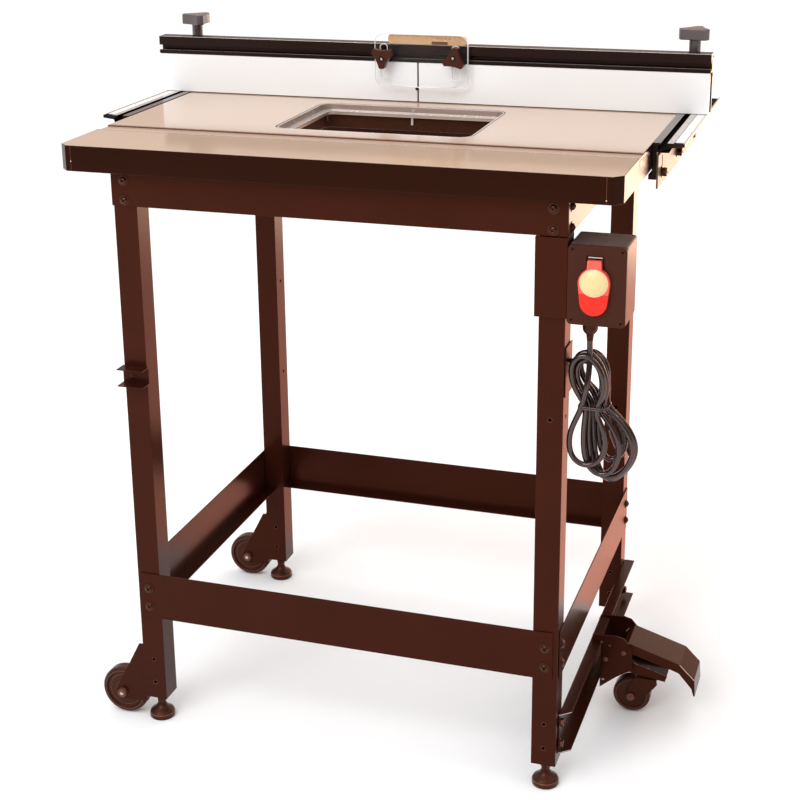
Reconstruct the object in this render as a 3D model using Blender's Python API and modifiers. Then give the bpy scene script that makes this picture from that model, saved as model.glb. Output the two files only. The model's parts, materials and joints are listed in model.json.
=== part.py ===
"""Router table on a folding-pedal mobile stand, as separate solids, in metres, +Z up.

Everything is placed in the stand's own frame: X across the table's middle, Y from front to
back, Z up from the floor. The frame_origin empty carries that frame, so that the object's
box is centred on the world origin.
"""

import math

import bmesh
import bpy
from mathutils import Matrix, Vector

# ---------------------------------------------------------------- driving dimensions
STAND_X = -0.0202           # centres the box, which the pedal makes longer on the right
GAP = 0.0003                # clearance between pieces that touch

TABLE_W = 0.813
TABLE_D = 0.610
TABLE_T = 0.0377
TABLE_TOP = 0.932
TABLE_CORNER = 0.0125       # front and rear corners are cut off at 45 degrees
TABLE_BOTTOM = TABLE_TOP - TABLE_T

TRACK_Y = -0.1679
TRACK_W = 0.0372
TRACK_WALL = 0.0018
TRACK_DEPTH = 0.0100
TRACK_FLOOR = 0.0023        # how far the track's floor lies below the table's face

OPENING_X, OPENING_Y = -0.0017, -0.0015
OPENING_W, OPENING_D = 0.2985, 0.2115
OPENING_CORNER = 0.017
RING_WALL = 0.0030
RING_LEDGE = 0.0120
RING_SEAT = 0.0095          # depth of the ledge that carries an insert plate
RING_T = 0.0150
CORE_STEP = 0.0065          # the board's own step under the ring

LEG = 0.0365
LEG_WALL = 0.0020
LEG_X = 0.332 - LEG / 2
LEG_FRONT_Y = -0.2853 + LEG / 2
LEG_REAR_Y = 0.2609 - LEG / 2
LEG_LOW, LEG_HIGH = 0.0407, 0.8940
LEG_SPAN_Y = LEG_REAR_Y - LEG_FRONT_Y
LEG_MID_Y = (LEG_REAR_Y + LEG_FRONT_Y) / 2
LEG_HOLE_R = 0.0030

SHEET = 0.0017              # thickness of the pressed steel rails
UPPER_Z, UPPER_H = 0.8437, 0.0503
LOWER_Z, LOWER_H = 0.1842, 0.0755
FLANGE = 0.0220
LOWER_INSET = 0.007

SIDE_Y0, SIDE_Y1 = -0.0803, 0.3047
RAIL_X = 0.4068             # inner face of a side rail, against the table's edge
RAIL_TOP = 0.9330
PLATE_X = 0.4135
PLATE_T = 0.0025
PLATE_Z0, PLATE_Z1 = 0.8670, 0.9145
PLATE_BOLTS_Y = (-0.0470, 0.0975, 0.2390)

FENCE_Y = 0.1467
FACE_T = 0.0187
FACE_Z0, FACE_Z1 = 0.9334, 0.9955
FACE_LEFT_X, FACE_RIGHT_X = -0.4597, 0.4525
FACE_SPLIT_X, FACE_SPLIT = -0.0070, 0.0024
BEAM_X0, BEAM_X1 = -0.4605, 0.4540
BEAM_TOP, BEAM_LOW = 1.0245, 0.9960
WALL_Y0, WALL_Y1 = 0.1657, 0.1717

CLAMP_X = 0.4225
CLAMP_Y = {"left": 0.2180, "right": 0.1910}
CLAMP_HEAD_Z = {"left": 1.0365, "right": 1.0405}
CLAMP_HEAD_T = 0.0170
CLAMP_TURN = {"left": -53, "right": 83}

GUARD_Y = 0.1367
GUARD_T = 0.0040
GUARD_KNOBS = ((-0.0600, 1.0060), (0.0585, 1.0060))
GUARD_SLOTS_X = (-0.0600, 0.0590)

BOX_X0, BOX_X1 = 0.3343, 0.4130
BOX_Z0, BOX_Z1 = 0.7255, 0.8352
BOX_Y0, BOX_Y1 = -0.2840, -0.2180
COVER_T = 0.0057
FLAP_X = 0.3712
FLAP_HINGE_Y, FLAP_HINGE_Z = -0.2945, 0.8133
FLAP_T = 0.0080
BUTTONS_Z = (0.7938, 0.7668)
BUTTON = 0.0110

GLAND_X, GLAND_Y = 0.3620, -0.2650
CORD_R = 0.0040
HANK_Y = -0.2590
HANK_T = 0.0340
HOOK_Y, HOOK_Z = -0.2540, 0.6620

WHEEL_X, WHEEL_Z = -0.3737, 0.0396
WHEEL_R, WHEEL_W = 0.0392, 0.0220

CHANNEL_X0, CHANNEL_X1 = 0.3324, 0.3495
CHANNEL_Z0, CHANNEL_Z1 = 0.0550, 0.1200
PEDAL_Y = -0.0083           # middle of the pedal linkage
CHEEK_Y = 0.0340            # from the middle to a cheek
CHEEK_T = 0.0022
PEDAL_PIVOT = (0.3860, 0.1070)
ARM_PIVOT = (0.3580, 0.0920)
CASTER_X, CASTER_Y = 0.4220, -0.0233
AXLE_X, AXLE_Z = 0.3995, 0.0300
CASTER_R, CASTER_W = 0.0295, 0.0220

FOOT_R = 0.0200

# ---------------------------------------------------------------- scene and materials


def clear_scene():
    for obj in list(bpy.data.objects):
        bpy.data.objects.remove(obj, do_unlink=True)


def make_collection(name):
    collection = bpy.data.collections.new(name)
    bpy.context.scene.collection.children.link(collection)
    return collection


clear_scene()
PARTS = make_collection("router_table")
CUTTERS = make_collection("cutters")

ORIGIN = bpy.data.objects.new("frame_origin", None)
ORIGIN.location = (STAND_X, 0, 0)
PARTS.objects.link(ORIGIN)


def make_material(name, colour, roughness, metallic=0.0, alpha=1.0):
    material = bpy.data.materials.new(name)
    material.use_nodes = True
    shader = material.node_tree.nodes["Principled BSDF"]
    shader.inputs["Base Color"].default_value = (*colour, 1.0)
    shader.inputs["Roughness"].default_value = roughness
    shader.inputs["Metallic"].default_value = metallic
    shader.inputs["Alpha"].default_value = alpha
    material.diffuse_color = (*colour, alpha)
    return material


LAMINATE = make_material("laminate", (0.56, 0.53, 0.50), 0.35)
ALUMINIUM = make_material("aluminium", (0.72, 0.70, 0.68), 0.30, 1.0)
BLACK_ALUMINIUM = make_material("black_aluminium", (0.03, 0.025, 0.025), 0.40, 0.6)
POWDER_COAT = make_material("powder_coat", (0.050, 0.022, 0.016), 0.45)
WHITE_BOARD = make_material("white_board", (0.84, 0.83, 0.80), 0.45)
BLACK_PLASTIC = make_material("black_plastic", (0.060, 0.045, 0.042), 0.50)
CLEAR_PLASTIC = make_material("clear_plastic", (0.90, 0.90, 0.92), 0.05, 0.0, 0.3)
RED_PLASTIC = make_material("red_plastic", (0.85, 0.05, 0.03), 0.40)
GREEN_PLASTIC = make_material("green_plastic", (0.05, 0.35, 0.10), 0.40)
RUBBER = make_material("rubber", (0.035, 0.030, 0.032), 0.70)
STEEL = make_material("steel", (0.50, 0.48, 0.46), 0.35, 1.0)

# ---------------------------------------------------------------- shape helpers


def add_part(obj, name, material):
    """Names a finished piece, puts it in the parts collection and in the stand's frame."""
    obj.name = name
    obj.data.name = name
    obj.data.materials.clear()
    obj.data.materials.append(material)
    for collection in list(obj.users_collection):
        collection.objects.unlink(obj)
    PARTS.objects.link(obj)
    obj.parent = ORIGIN
    return obj


def add_cutter(obj):
    for collection in list(obj.users_collection):
        collection.objects.unlink(obj)
    CUTTERS.objects.link(obj)
    obj.name = "cutter"
    obj.parent = ORIGIN
    obj.hide_render = True
    obj.display_type = "WIRE"
    return obj


def mesh_object(mesh_builder, matrix=Matrix()):
    mesh = bpy.data.meshes.new("piece")
    builder = bmesh.new()
    mesh_builder(builder)
    builder.to_mesh(mesh)
    builder.free()
    obj = bpy.data.objects.new("piece", mesh)
    obj.matrix_world = matrix
    CUTTERS.objects.link(obj)
    return obj


def box(x0, x1, y0, y1, z0, z1):
    size = Matrix.Diagonal((x1 - x0, y1 - y0, z1 - z0, 1))

    def build(builder):
        bmesh.ops.create_cube(builder, size=1, matrix=size)

    middle = Vector(((x0 + x1) / 2, (y0 + y1) / 2, (z0 + z1) / 2))
    return mesh_object(build, Matrix.Translation(middle))


AXIS_TURN = {
    "X": Matrix.Rotation(math.pi / 2, 4, "Y"),
    "Y": Matrix.Rotation(-math.pi / 2, 4, "X"),
    "Z": Matrix(),
}


def cylinder(centre, axis, radius, length, segments=24):
    def build(builder):
        bmesh.ops.create_cone(
            builder, cap_ends=True, segments=segments,
            radius1=radius, radius2=radius, depth=length,
        )

    obj = mesh_object(build, Matrix.Translation(centre) @ AXIS_TURN[axis])
    smooth_sides(obj)
    return obj


def smooth_sides(obj):
    obj.data.shade_smooth()
    obj.data.set_sharp_from_angle(angle=math.radians(35))


def turned(centre, axis, profile, steps=32):
    """A profile of (radius, height) down its outer side, turned about an axis through centre."""
    mesh = bpy.data.meshes.new("piece")
    builder = bmesh.new()
    points = [builder.verts.new((radius, 0, height)) for radius, height in profile]
    for upper, lower in zip(points, points[1:]):
        builder.edges.new((upper, lower))
    builder.to_mesh(mesh)
    builder.free()
    obj = bpy.data.objects.new("piece", mesh)
    obj.matrix_world = Matrix.Translation(centre) @ AXIS_TURN[axis]
    CUTTERS.objects.link(obj)
    screw = obj.modifiers.new("turn", "SCREW")
    screw.steps = steps
    screw.render_steps = steps
    screw.use_merge_vertices = True
    screw.merge_threshold = 0.00001
    screw.use_smooth_shade = True
    return obj


def arc(centre, radius, start, end, steps):
    """Points on an arc, from one angle in degrees to another."""
    points = []
    for step in range(steps + 1):
        angle = math.radians(start + (end - start) * step / steps)
        points.append((centre[0] + radius * math.cos(angle), centre[1] + radius * math.sin(angle)))
    return points


def rounded_rectangle(centre, width, depth, radius, steps=5):
    x, y = centre
    reach_x, reach_y = width / 2 - radius, depth / 2 - radius
    corners = (
        ((x + reach_x, y + reach_y), 0),
        ((x - reach_x, y + reach_y), 90),
        ((x - reach_x, y - reach_y), 180),
        ((x + reach_x, y - reach_y), 270),
    )
    points = []
    for corner, start in corners:
        points += arc(corner, radius, start, start + 90, steps)
    return points


PLANE_TURN = {
    "XY": Matrix(),
    "XZ": Matrix.Rotation(math.pi / 2, 4, "X"),
    "YZ": Matrix.Rotation(math.pi / 2, 4, "Z") @ Matrix.Rotation(math.pi / 2, 4, "X"),
}
PLANE_NORMAL = {"XY": Vector((0, 0, 1)), "XZ": Vector((0, 1, 0)), "YZ": Vector((1, 0, 0))}


def extruded(plane, loops, low, high, smooth=False):
    """A flat outline, with any holes as further loops, from low to high across its plane."""
    curve = bpy.data.curves.new("outline", "CURVE")
    curve.dimensions = "2D"
    curve.fill_mode = "BOTH"
    curve.extrude = (high - low) / 2
    for loop in loops:
        spline = curve.splines.new("POLY")
        spline.points.add(len(loop) - 1)
        for point, place in zip(spline.points, loop):
            point.co = (place[0], place[1], 0, 1)
        spline.use_cyclic_u = True
    flat = bpy.data.objects.new("outline", curve)
    bpy.context.scene.collection.objects.link(flat)
    flat.matrix_world = Matrix.Translation(PLANE_NORMAL[plane] * (low + high) / 2) @ PLANE_TURN[plane]
    obj = curve_to_mesh(flat)
    if smooth:
        smooth_sides(obj)
    return obj


def curve_to_mesh(flat):
    """The curve's own shape as a welded mesh that Boolean and Bevel can use."""
    bpy.context.view_layer.update()
    evaluated = flat.evaluated_get(bpy.context.evaluated_depsgraph_get())
    mesh = bpy.data.meshes.new_from_object(evaluated)
    builder = bmesh.new()
    builder.from_mesh(mesh)
    bmesh.ops.remove_doubles(builder, verts=builder.verts, dist=0.000005)
    bmesh.ops.recalc_face_normals(builder, faces=builder.faces)
    builder.to_mesh(mesh)
    builder.free()
    obj = bpy.data.objects.new("piece", mesh)
    obj.matrix_world = flat.matrix_world.copy()
    CUTTERS.objects.link(obj)
    bpy.data.objects.remove(flat, do_unlink=True)
    return obj


def boolean(obj, other, operation):
    modifier = obj.modifiers.new(operation.lower(), "BOOLEAN")
    modifier.operation = operation
    modifier.solver = "EXACT"
    modifier.object = add_cutter(other)


def cut(obj, *others):
    for other in others:
        boolean(obj, other, "DIFFERENCE")
    return obj


def join(obj, *others):
    for other in others:
        boolean(obj, other, "UNION")
    return obj


def mirrored(points, side):
    """An outline drawn for the right side, for the side +1 or -1."""
    return [(side * x, z) for x, z in points]


# ---------------------------------------------------------------- table


def build_table():
    outer = rounded_rectangle((0, 0), TABLE_W, TABLE_D, TABLE_CORNER, 1)
    opening = (OPENING_X, OPENING_Y)
    ring_w, ring_d = OPENING_W + 2 * RING_WALL, OPENING_D + 2 * RING_WALL
    core = rounded_rectangle(
        opening, ring_w - 2 * CORE_STEP, ring_d - 2 * CORE_STEP, OPENING_CORNER - 0.004
    )
    table = extruded("XY", (outer, core), TABLE_BOTTOM, TABLE_TOP, smooth=True)
    seat = rounded_rectangle(
        opening, ring_w + 2 * GAP, ring_d + 2 * GAP, OPENING_CORNER + RING_WALL + GAP
    )
    cut(
        table,
        extruded("XY", (seat,), TABLE_TOP - RING_T - GAP, TABLE_TOP + 0.02),
        extruded("YZ", (track_section(GAP, 0.005),), -TABLE_W, TABLE_W),
    )
    add_part(table, "table_top", LAMINATE)

    ring_outer = rounded_rectangle(opening, ring_w, ring_d, OPENING_CORNER + RING_WALL)
    ring_inner = rounded_rectangle(
        opening, OPENING_W - 2 * RING_LEDGE, OPENING_D - 2 * RING_LEDGE, OPENING_CORNER - 0.007
    )
    ring = extruded("XY", (ring_outer, ring_inner), TABLE_TOP - RING_T, TABLE_TOP, smooth=True)
    plate_seat = rounded_rectangle(opening, OPENING_W, OPENING_D, OPENING_CORNER)
    cut(ring, extruded("XY", (plate_seat,), TABLE_TOP - RING_SEAT, TABLE_TOP + 0.02))
    add_part(ring, "insert_ring", ALUMINIUM)

    track = extruded("YZ", (track_section(0, 0),), -TABLE_W / 2, TABLE_W / 2)
    add_part(track, "mitre_track", ALUMINIUM)


def track_section(grown, above):
    """Section of the mitre track; grown and open above, it is the groove that holds it."""
    half = TRACK_W / 2 + grown
    inner = TRACK_W / 2 - TRACK_WALL - grown
    top, low = TABLE_TOP, TABLE_TOP - TRACK_DEPTH - grown
    under = TABLE_TOP - TRACK_FLOOR - TRACK_WALL - grown
    section = [(-half, low), (-inner, low), (-inner, under), (inner, under), (inner, low), (half, low)]
    if above:
        section += [(half, top + above), (-half, top + above)]
    else:
        lip = half - TRACK_WALL
        floor = TABLE_TOP - TRACK_FLOOR
        section += [(half, top), (lip, top), (lip, floor), (-lip, floor), (-lip, top), (-half, top)]
    return [(TRACK_Y + y, z) for y, z in section]


# ---------------------------------------------------------------- stand


def build_legs():
    front_holes = (0.0690, 0.1090)
    extra_front = {"front_right": (0.5840,), "rear_right": (0.4160,)}
    outer_side = {"front_right": (0.5850,)}
    inner_side = {"rear_left": (0.5830, 0.4130)}
    for side, side_name in ((-1, "left"), (1, "right")):
        for y, end_name in ((LEG_FRONT_Y, "front"), (LEG_REAR_Y, "rear")):
            name = f"{end_name}_{side_name}"
            x = side * LEG_X
            half, inner = LEG / 2, LEG / 2 - LEG_WALL
            leg = box(x - half, x + half, y - half, y + half, LEG_LOW, LEG_HIGH)
            cut(
                leg,
                box(x - inner, x + inner, y - inner, y + inner, LEG_LOW + 0.004, LEG_HIGH + 0.01),
                cylinder((x, y, LEG_LOW), "Z", 0.0055, 0.03, 16),
            )
            for z in front_holes + extra_front.get(name, ()):
                cut(leg, cylinder((x, y - half, z), "Y", LEG_HOLE_R, 0.012, 12))
            for z in outer_side.get(name, ()):
                cut(leg, cylinder((x + side * half, y, z), "X", LEG_HOLE_R, 0.012, 12))
            for z in inner_side.get(name, ()):
                cut(leg, cylinder((x - side * half, y, z), "X", LEG_HOLE_R, 0.012, 12))
            add_part(leg, f"leg_{name}", POWDER_COAT)


def angle_rail(length, height, flange_length, flange_z):
    """Rail along X whose outer face is at Y = 0, with a flange that runs inward."""
    rail = box(-length / 2, length / 2, 0, SHEET, 0, height)
    flange = box(
        -flange_length / 2, flange_length / 2, SHEET / 2, FLANGE, flange_z, flange_z + SHEET
    )
    return join(rail, flange)


def build_rails():
    clear_x = 2 * LEG_X - LEG - 0.001
    clear_y = LEG_SPAN_Y - LEG - 0.001
    full_x, full_y = 2 * LEG_X + LEG, LEG_SPAN_Y + LEG
    outside = LEG / 2 + GAP + SHEET
    levels = (
        ("upper", UPPER_Z, UPPER_H, UPPER_H - SHEET - 0.0004, full_x + 2 * SHEET, full_y),
        ("lower", LOWER_Z, LOWER_H, 0.0003, full_x - 2 * LOWER_INSET, full_y - 2 * LOWER_INSET),
    )
    for level, z, height, flange_z, long_x, long_y in levels:
        places = (
            ("front", (0, LEG_FRONT_Y - outside, z), 0, long_x, clear_x),
            ("rear", (0, LEG_REAR_Y + outside, z), 180, long_x, clear_x),
            ("left", (-LEG_X - outside, LEG_MID_Y, z), -90, long_y, clear_y),
            ("right", (LEG_X + outside, LEG_MID_Y, z), 90, long_y, clear_y),
        )
        for side, place, turn, length, clear in places:
            rail = angle_rail(length, height, clear, flange_z)
            add_part(rail, f"{level}_rail_{side}", POWDER_COAT)
            rotation = Matrix.Rotation(math.radians(turn), 4, "Z")
            put_with_cutters(rail, Matrix.Translation(place) @ rotation)


def put_with_cutters(obj, matrix):
    """Moves a piece and the shapes that cut or join it, all drawn about the origin."""
    for piece in [obj] + [modifier.object for modifier in obj.modifiers if modifier.type == "BOOLEAN"]:
        piece.matrix_basis = matrix @ piece.matrix_basis


def build_feet():
    profile = (
        (0, 0.0800), (0.0045, 0.0800), (0.0045, 0.0345), (0.0080, 0.0345), (0.0080, 0.0280),
        (0.0060, 0.0262), (0.0085, 0.0190), (0.0165, 0.0125), (0.0190, 0.0110),
        (FOOT_R, 0.0080), (FOOT_R, 0.0010), (FOOT_R - 0.001, 0), (0, 0),
    )
    for side, side_name in ((-1, "left"), (1, "right")):
        for y, end_name in ((LEG_FRONT_Y, "front"), (LEG_REAR_Y, "rear")):
            foot = turned((side * LEG_X, y, 0), "Z", profile, 20)
            add_part(foot, f"foot_{end_name}_{side_name}", BLACK_PLASTIC)


def build_leg_sleeve():
    x0, x1 = 0.2900, LEG_X + LEG / 2 + GAP + SHEET
    front, back = -0.2903, -0.2500
    wall = 0.0020
    section = (
        (x0, front), (x1, front), (x1, back), (x1 - SHEET, back),
        (x1 - SHEET, front + wall), (x0 + wall, front + wall), (x0 + wall, back), (x0, back),
    )
    sleeve = extruded("XY", (section,), 0.7320, 0.8430)
    add_part(sleeve, "leg_sleeve", POWDER_COAT)


def build_tool_holder():
    front, back, wall = -0.3080, -0.2856, 0.0015
    low, high = 0.5730, 0.6000
    section = (
        (back, low), (back, high), (front, high), (front, high - wall), (back - wall, high - wall),
        (back - wall, low + wall), (front, low + wall), (front, low),
    )
    holder = extruded("YZ", (section,), -0.3340, -0.2920)
    add_part(holder, "tool_holder", POWDER_COAT)


# ---------------------------------------------------------------- side rails and fence


def side_rail_section():
    """Right-hand side rail: web, nut hook, T-slot and the recess for a scale."""
    return [
        (RAIL_X - 0.0048, 0.8800), (RAIL_X + 0.0064, 0.8800), (RAIL_X + 0.0064, 0.9190),
        (0.4300, 0.9190), (0.4340, 0.9260), (0.4515, 0.9280), (0.4515, RAIL_TOP),
        (0.4490, RAIL_TOP), (0.4490, 0.9310), (0.4360, 0.9310), (0.4360, RAIL_TOP),
        (0.4270, RAIL_TOP), (0.4270, 0.9298), (0.4310, 0.9298), (0.4310, 0.9217),
        (0.4140, 0.9217), (0.4140, 0.9298), (0.4180, 0.9298), (0.4180, RAIL_TOP),
        (RAIL_X, RAIL_TOP), (RAIL_X, 0.8870), (RAIL_X - 0.0048, 0.8870),
    ]


def build_side_rails():
    middle_z = (PLATE_Z0 + PLATE_Z1) / 2
    for side, side_name in ((-1, "left"), (1, "right")):
        rail = extruded("XZ", (mirrored(side_rail_section(), side),), SIDE_Y0, SIDE_Y1)
        add_part(rail, f"side_rail_{side_name}", BLACK_ALUMINIUM)

        outline = rounded_rectangle(
            ((SIDE_Y0 + SIDE_Y1) / 2, middle_z), SIDE_Y1 - SIDE_Y0, PLATE_Z1 - PLATE_Z0, 0.001, 1
        )
        slots = [
            rounded_rectangle((y, 0.8950), 0.0066, 0.0300, 0.0032, 3) for y in PLATE_BOLTS_Y
        ]
        near, far = sorted((side * PLATE_X, side * (PLATE_X + PLATE_T)))
        plate = extruded("YZ", (outline, *slots), near, far)
        add_part(plate, f"rail_plate_{side_name}", ALUMINIUM)


def build_fence():
    slot_y, cavity_y = FENCE_Y + 0.0035, FENCE_Y + 0.0113
    section = (
        (FENCE_Y, BEAM_LOW), (FENCE_Y, 1.0022), (slot_y, 1.0022), (slot_y, 0.9985),
        (cavity_y, 0.9985), (cavity_y, 1.0140), (slot_y, 1.0140), (slot_y, 1.0098),
        (FENCE_Y, 1.0098), (FENCE_Y, BEAM_TOP), (WALL_Y1, BEAM_TOP), (WALL_Y1, FACE_Z0),
        (WALL_Y0, FACE_Z0), (WALL_Y0, BEAM_LOW),
    )
    beam = extruded("YZ", (section,), BEAM_X0, BEAM_X1)
    add_part(beam, "fence_beam", BLACK_ALUMINIUM)

    spans = (
        ("left", FACE_LEFT_X, FACE_SPLIT_X - FACE_SPLIT / 2),
        ("right", FACE_SPLIT_X + FACE_SPLIT / 2, FACE_RIGHT_X),
    )
    for side_name, x0, x1 in spans:
        face = box(x0, x1, FENCE_Y, FENCE_Y + FACE_T, FACE_Z0, FACE_Z1)
        add_part(face, f"fence_face_{side_name}", WHITE_BOARD)


def build_fence_brackets():
    low, base_top, high = FACE_Z0, FACE_Z0 + 0.006, 1.0080
    front, back = WALL_Y1 + GAP, 0.2350
    upright = front + 0.005
    for side, side_name in ((-1, "left"), (1, "right")):
        section = (
            (front, low), (back, low), (back, base_top), (upright, base_top), (upright, high),
            (front, high),
        )
        x0, x1 = sorted((side * 0.4000, side * 0.4440))
        bracket = extruded("YZ", (section,), x0, x1)
        for gusset_x in (0.4030, 0.4410):
            corner = (
                (upright - 0.002, base_top - 0.002), (back - 0.012, base_top - 0.002),
                (upright - 0.002, high - 0.012),
            )
            near, far = sorted((side * (gusset_x - 0.0015), side * (gusset_x + 0.0015)))
            join(bracket, extruded("YZ", (corner,), near, far))
        cut(bracket, cylinder((side * CLAMP_X, CLAMP_Y[side_name], low), "Z", 0.0037, 0.03, 20))
        add_part(bracket, f"fence_bracket_{side_name}", BLACK_ALUMINIUM)


def lobed_outline(corner_r, turn, hollow=0.0018, half_angle=13):
    """A three-lobed knob's outline: blunt lobe ends with slightly hollow sides between them."""
    points = []
    for lobe in range(3):
        corners = [
            Vector((corner_r * math.cos(angle), corner_r * math.sin(angle)))
            for angle in (
                math.radians(turn + 120 * lobe + offset)
                for offset in (-half_angle, half_angle, 120 - half_angle)
            )
        ]
        first, start, end = corners
        points.append(tuple((first + start) / 2 * 1.035))
        inward = -(start + end).normalized()
        for step in range(7):
            t = step / 6
            points.append(tuple(start.lerp(end, t) + inward * hollow * 4 * t * (1 - t)))
    return points


def build_clamp_knobs():
    stem_r, bolt_r = 0.0090, 0.0030
    base = FACE_Z0 + 0.006 + GAP
    for side, side_name in ((-1, "left"), (1, "right")):
        x, y, head_z = side * CLAMP_X, CLAMP_Y[side_name], CLAMP_HEAD_Z[side_name]
        profile = (
            (0, head_z + 0.004), (stem_r, head_z + 0.004), (stem_r, base),
            (bolt_r, base), (bolt_r, 0.9290), (0.0068, 0.9290), (0.0068, 0.9235), (0, 0.9235),
        )
        outline = [(x + dx, y + dy) for dx, dy in lobed_outline(0.0252, CLAMP_TURN[side_name])]
        head = extruded("XY", (outline,), head_z, head_z + CLAMP_HEAD_T)
        join(head, turned((x, y, 0), "Z", profile, 24))
        add_part(head, f"clamp_knob_{side_name}", BLACK_PLASTIC)


def build_guard():
    plate = rounded_rectangle((0.0020, 1.0000), 0.1540, 0.0840, 0.0140, 5)
    slots = [rounded_rectangle((x, 0.9985), 0.0110, 0.0530, 0.0045, 3) for x in GUARD_SLOTS_X]
    guard = extruded(
        "XZ", (plate, *slots), GUARD_Y - GUARD_T / 2, GUARD_Y + GUARD_T / 2, smooth=True
    )
    visor_x, visor_half, visor_reach = 0.0070, 0.0550, 0.0240
    visor = [
        (visor_x + visor_half * math.cos(math.radians(a)),
         GUARD_Y + visor_reach * math.sin(math.radians(a)))
        for a in range(180, 361, 12)
    ]
    join(guard, extruded("XY", (visor,), 0.9610, 0.9640, smooth=True))
    add_part(guard, "guard", CLEAR_PLASTIC)

    front = GUARD_Y - GUARD_T / 2 - GAP
    for side_name, (x, z), turn in zip(("left", "right"), GUARD_KNOBS, (-92, 82)):
        outline = [(x + dx, z + dz) for dx, dz in lobed_outline(0.0187, turn)]
        head = extruded("XZ", (outline,), front - 0.0125, front)
        stud = (
            (0, 0.0205), (0.0047, 0.0205), (0.0047, 0.0162), (0.0028, 0.0162),
            (0.0028, -0.0040), (0, -0.0040),
        )
        join(head, turned((x, front, z), "Y", stud, 20))
        add_part(head, f"guard_knob_{side_name}", BLACK_PLASTIC)


# ---------------------------------------------------------------- switch and cord


def build_switch():
    wall = 0.0025
    middle = ((BOX_X0 + BOX_X1) / 2, (BOX_Z0 + BOX_Z1) / 2)
    width, height = BOX_X1 - BOX_X0, BOX_Z1 - BOX_Z0
    shell = extruded(
        "XZ", (rounded_rectangle(middle, width, height, 0.004, 3),), BOX_Y0, BOX_Y1, smooth=True
    )
    inside = rounded_rectangle(middle, width - 2 * wall, height - 2 * wall, 0.002, 2)
    cut(
        shell,
        extruded("XZ", (inside,), BOX_Y0 - 0.01, BOX_Y1 - wall),
        cylinder((GLAND_X, GLAND_Y, BOX_Z0), "Z", 0.0064, 0.012, 20),
    )
    add_part(shell, "switch_box", BLACK_PLASTIC)

    front = BOX_Y0 - GAP - COVER_T
    holes = [
        rounded_rectangle((FLAP_X, z), BUTTON + 0.0010, BUTTON + 0.0010, 0.0010, 1)
        for z in BUTTONS_Z
    ]
    outline = rounded_rectangle(middle, width, height, 0.006, 4)
    cover = extruded("XZ", (outline, *holes), front, front + COVER_T, smooth=True)
    cut(cover, box(FLAP_X - 0.0120, FLAP_X + 0.0120, front - 0.01, front + 0.0032, 0.8020, 0.8215))
    add_part(cover, "switch_cover", BLACK_PLASTIC)

    block = box(FLAP_X - 0.018, FLAP_X + 0.018, -0.2670, BOX_Y1 - wall - GAP, 0.7500, 0.8060)
    add_part(block, "switch_block", BLACK_PLASTIC)

    for name, z, material in zip(
        ("start_button", "stop_button"), BUTTONS_Z, (GREEN_PLASTIC, RED_PLASTIC)
    ):
        half = BUTTON / 2
        button = box(FLAP_X - half, FLAP_X + half, front + 0.0005, -0.2715, z - half, z + half)
        add_part(button, name, material)


def build_switch_flap():
    """Red stop paddle, hung from its top, over the two buttons."""
    disc_z, lower_z = 0.7858, 0.7603
    tab = 0.0092
    outline = (
        [(tab, 0.8168), (-tab, 0.8168)]
        + arc((0, disc_z), 0.0212, 118, 190, 7)
        + arc((0, lower_z), 0.0185, 188, 352, 10)
        + arc((0, disc_z), 0.0212, -10, 62, 7)
    )
    back = BOX_Y0 - GAP - COVER_T - 0.0005
    flap = extruded(
        "XZ", ([(FLAP_X + x, z) for x, z in outline],), back - FLAP_T, back, smooth=True
    )
    disc = (
        (0, 0.0062), (0.0080, 0.0055), (0.0140, 0.0036), (0.0180, 0.0008), (0.0180, -0.002), (0, -0.002),
    )
    dome = turned((FLAP_X, back - FLAP_T, disc_z + 0.001), "Y", disc, 24)
    dome.matrix_world = (
        Matrix.Translation((FLAP_X, back - FLAP_T, disc_z + 0.001)) @ Matrix.Rotation(math.pi / 2, 4, "X")
    )
    join(flap, dome)
    add_part(flap, "switch_flap", RED_PLASTIC)
    hinge = Vector((FLAP_X, FLAP_HINGE_Y, FLAP_HINGE_Z))
    move_origin(flap, hinge)


def move_origin(obj, place):
    """Puts a piece's origin on its joint without moving the piece."""
    shift = obj.matrix_basis.inverted() @ Matrix.Translation(place)
    obj.data.transform(shift.inverted())
    obj.matrix_basis = Matrix.Translation(place)


def build_gland():
    profile = (
        (0, 0.7315), (0.0060, 0.7315), (0.0060, 0.7252), (0.0105, 0.7252), (0.0105, 0.7140),
        (0.0095, 0.7105), (0.0072, 0.7075), (0.0055, 0.7060), (0, 0.7060),
    )
    gland = turned((GLAND_X, GLAND_Y, 0), "Z", profile, 24)
    add_part(gland, "cable_gland", BLACK_PLASTIC)


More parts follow.
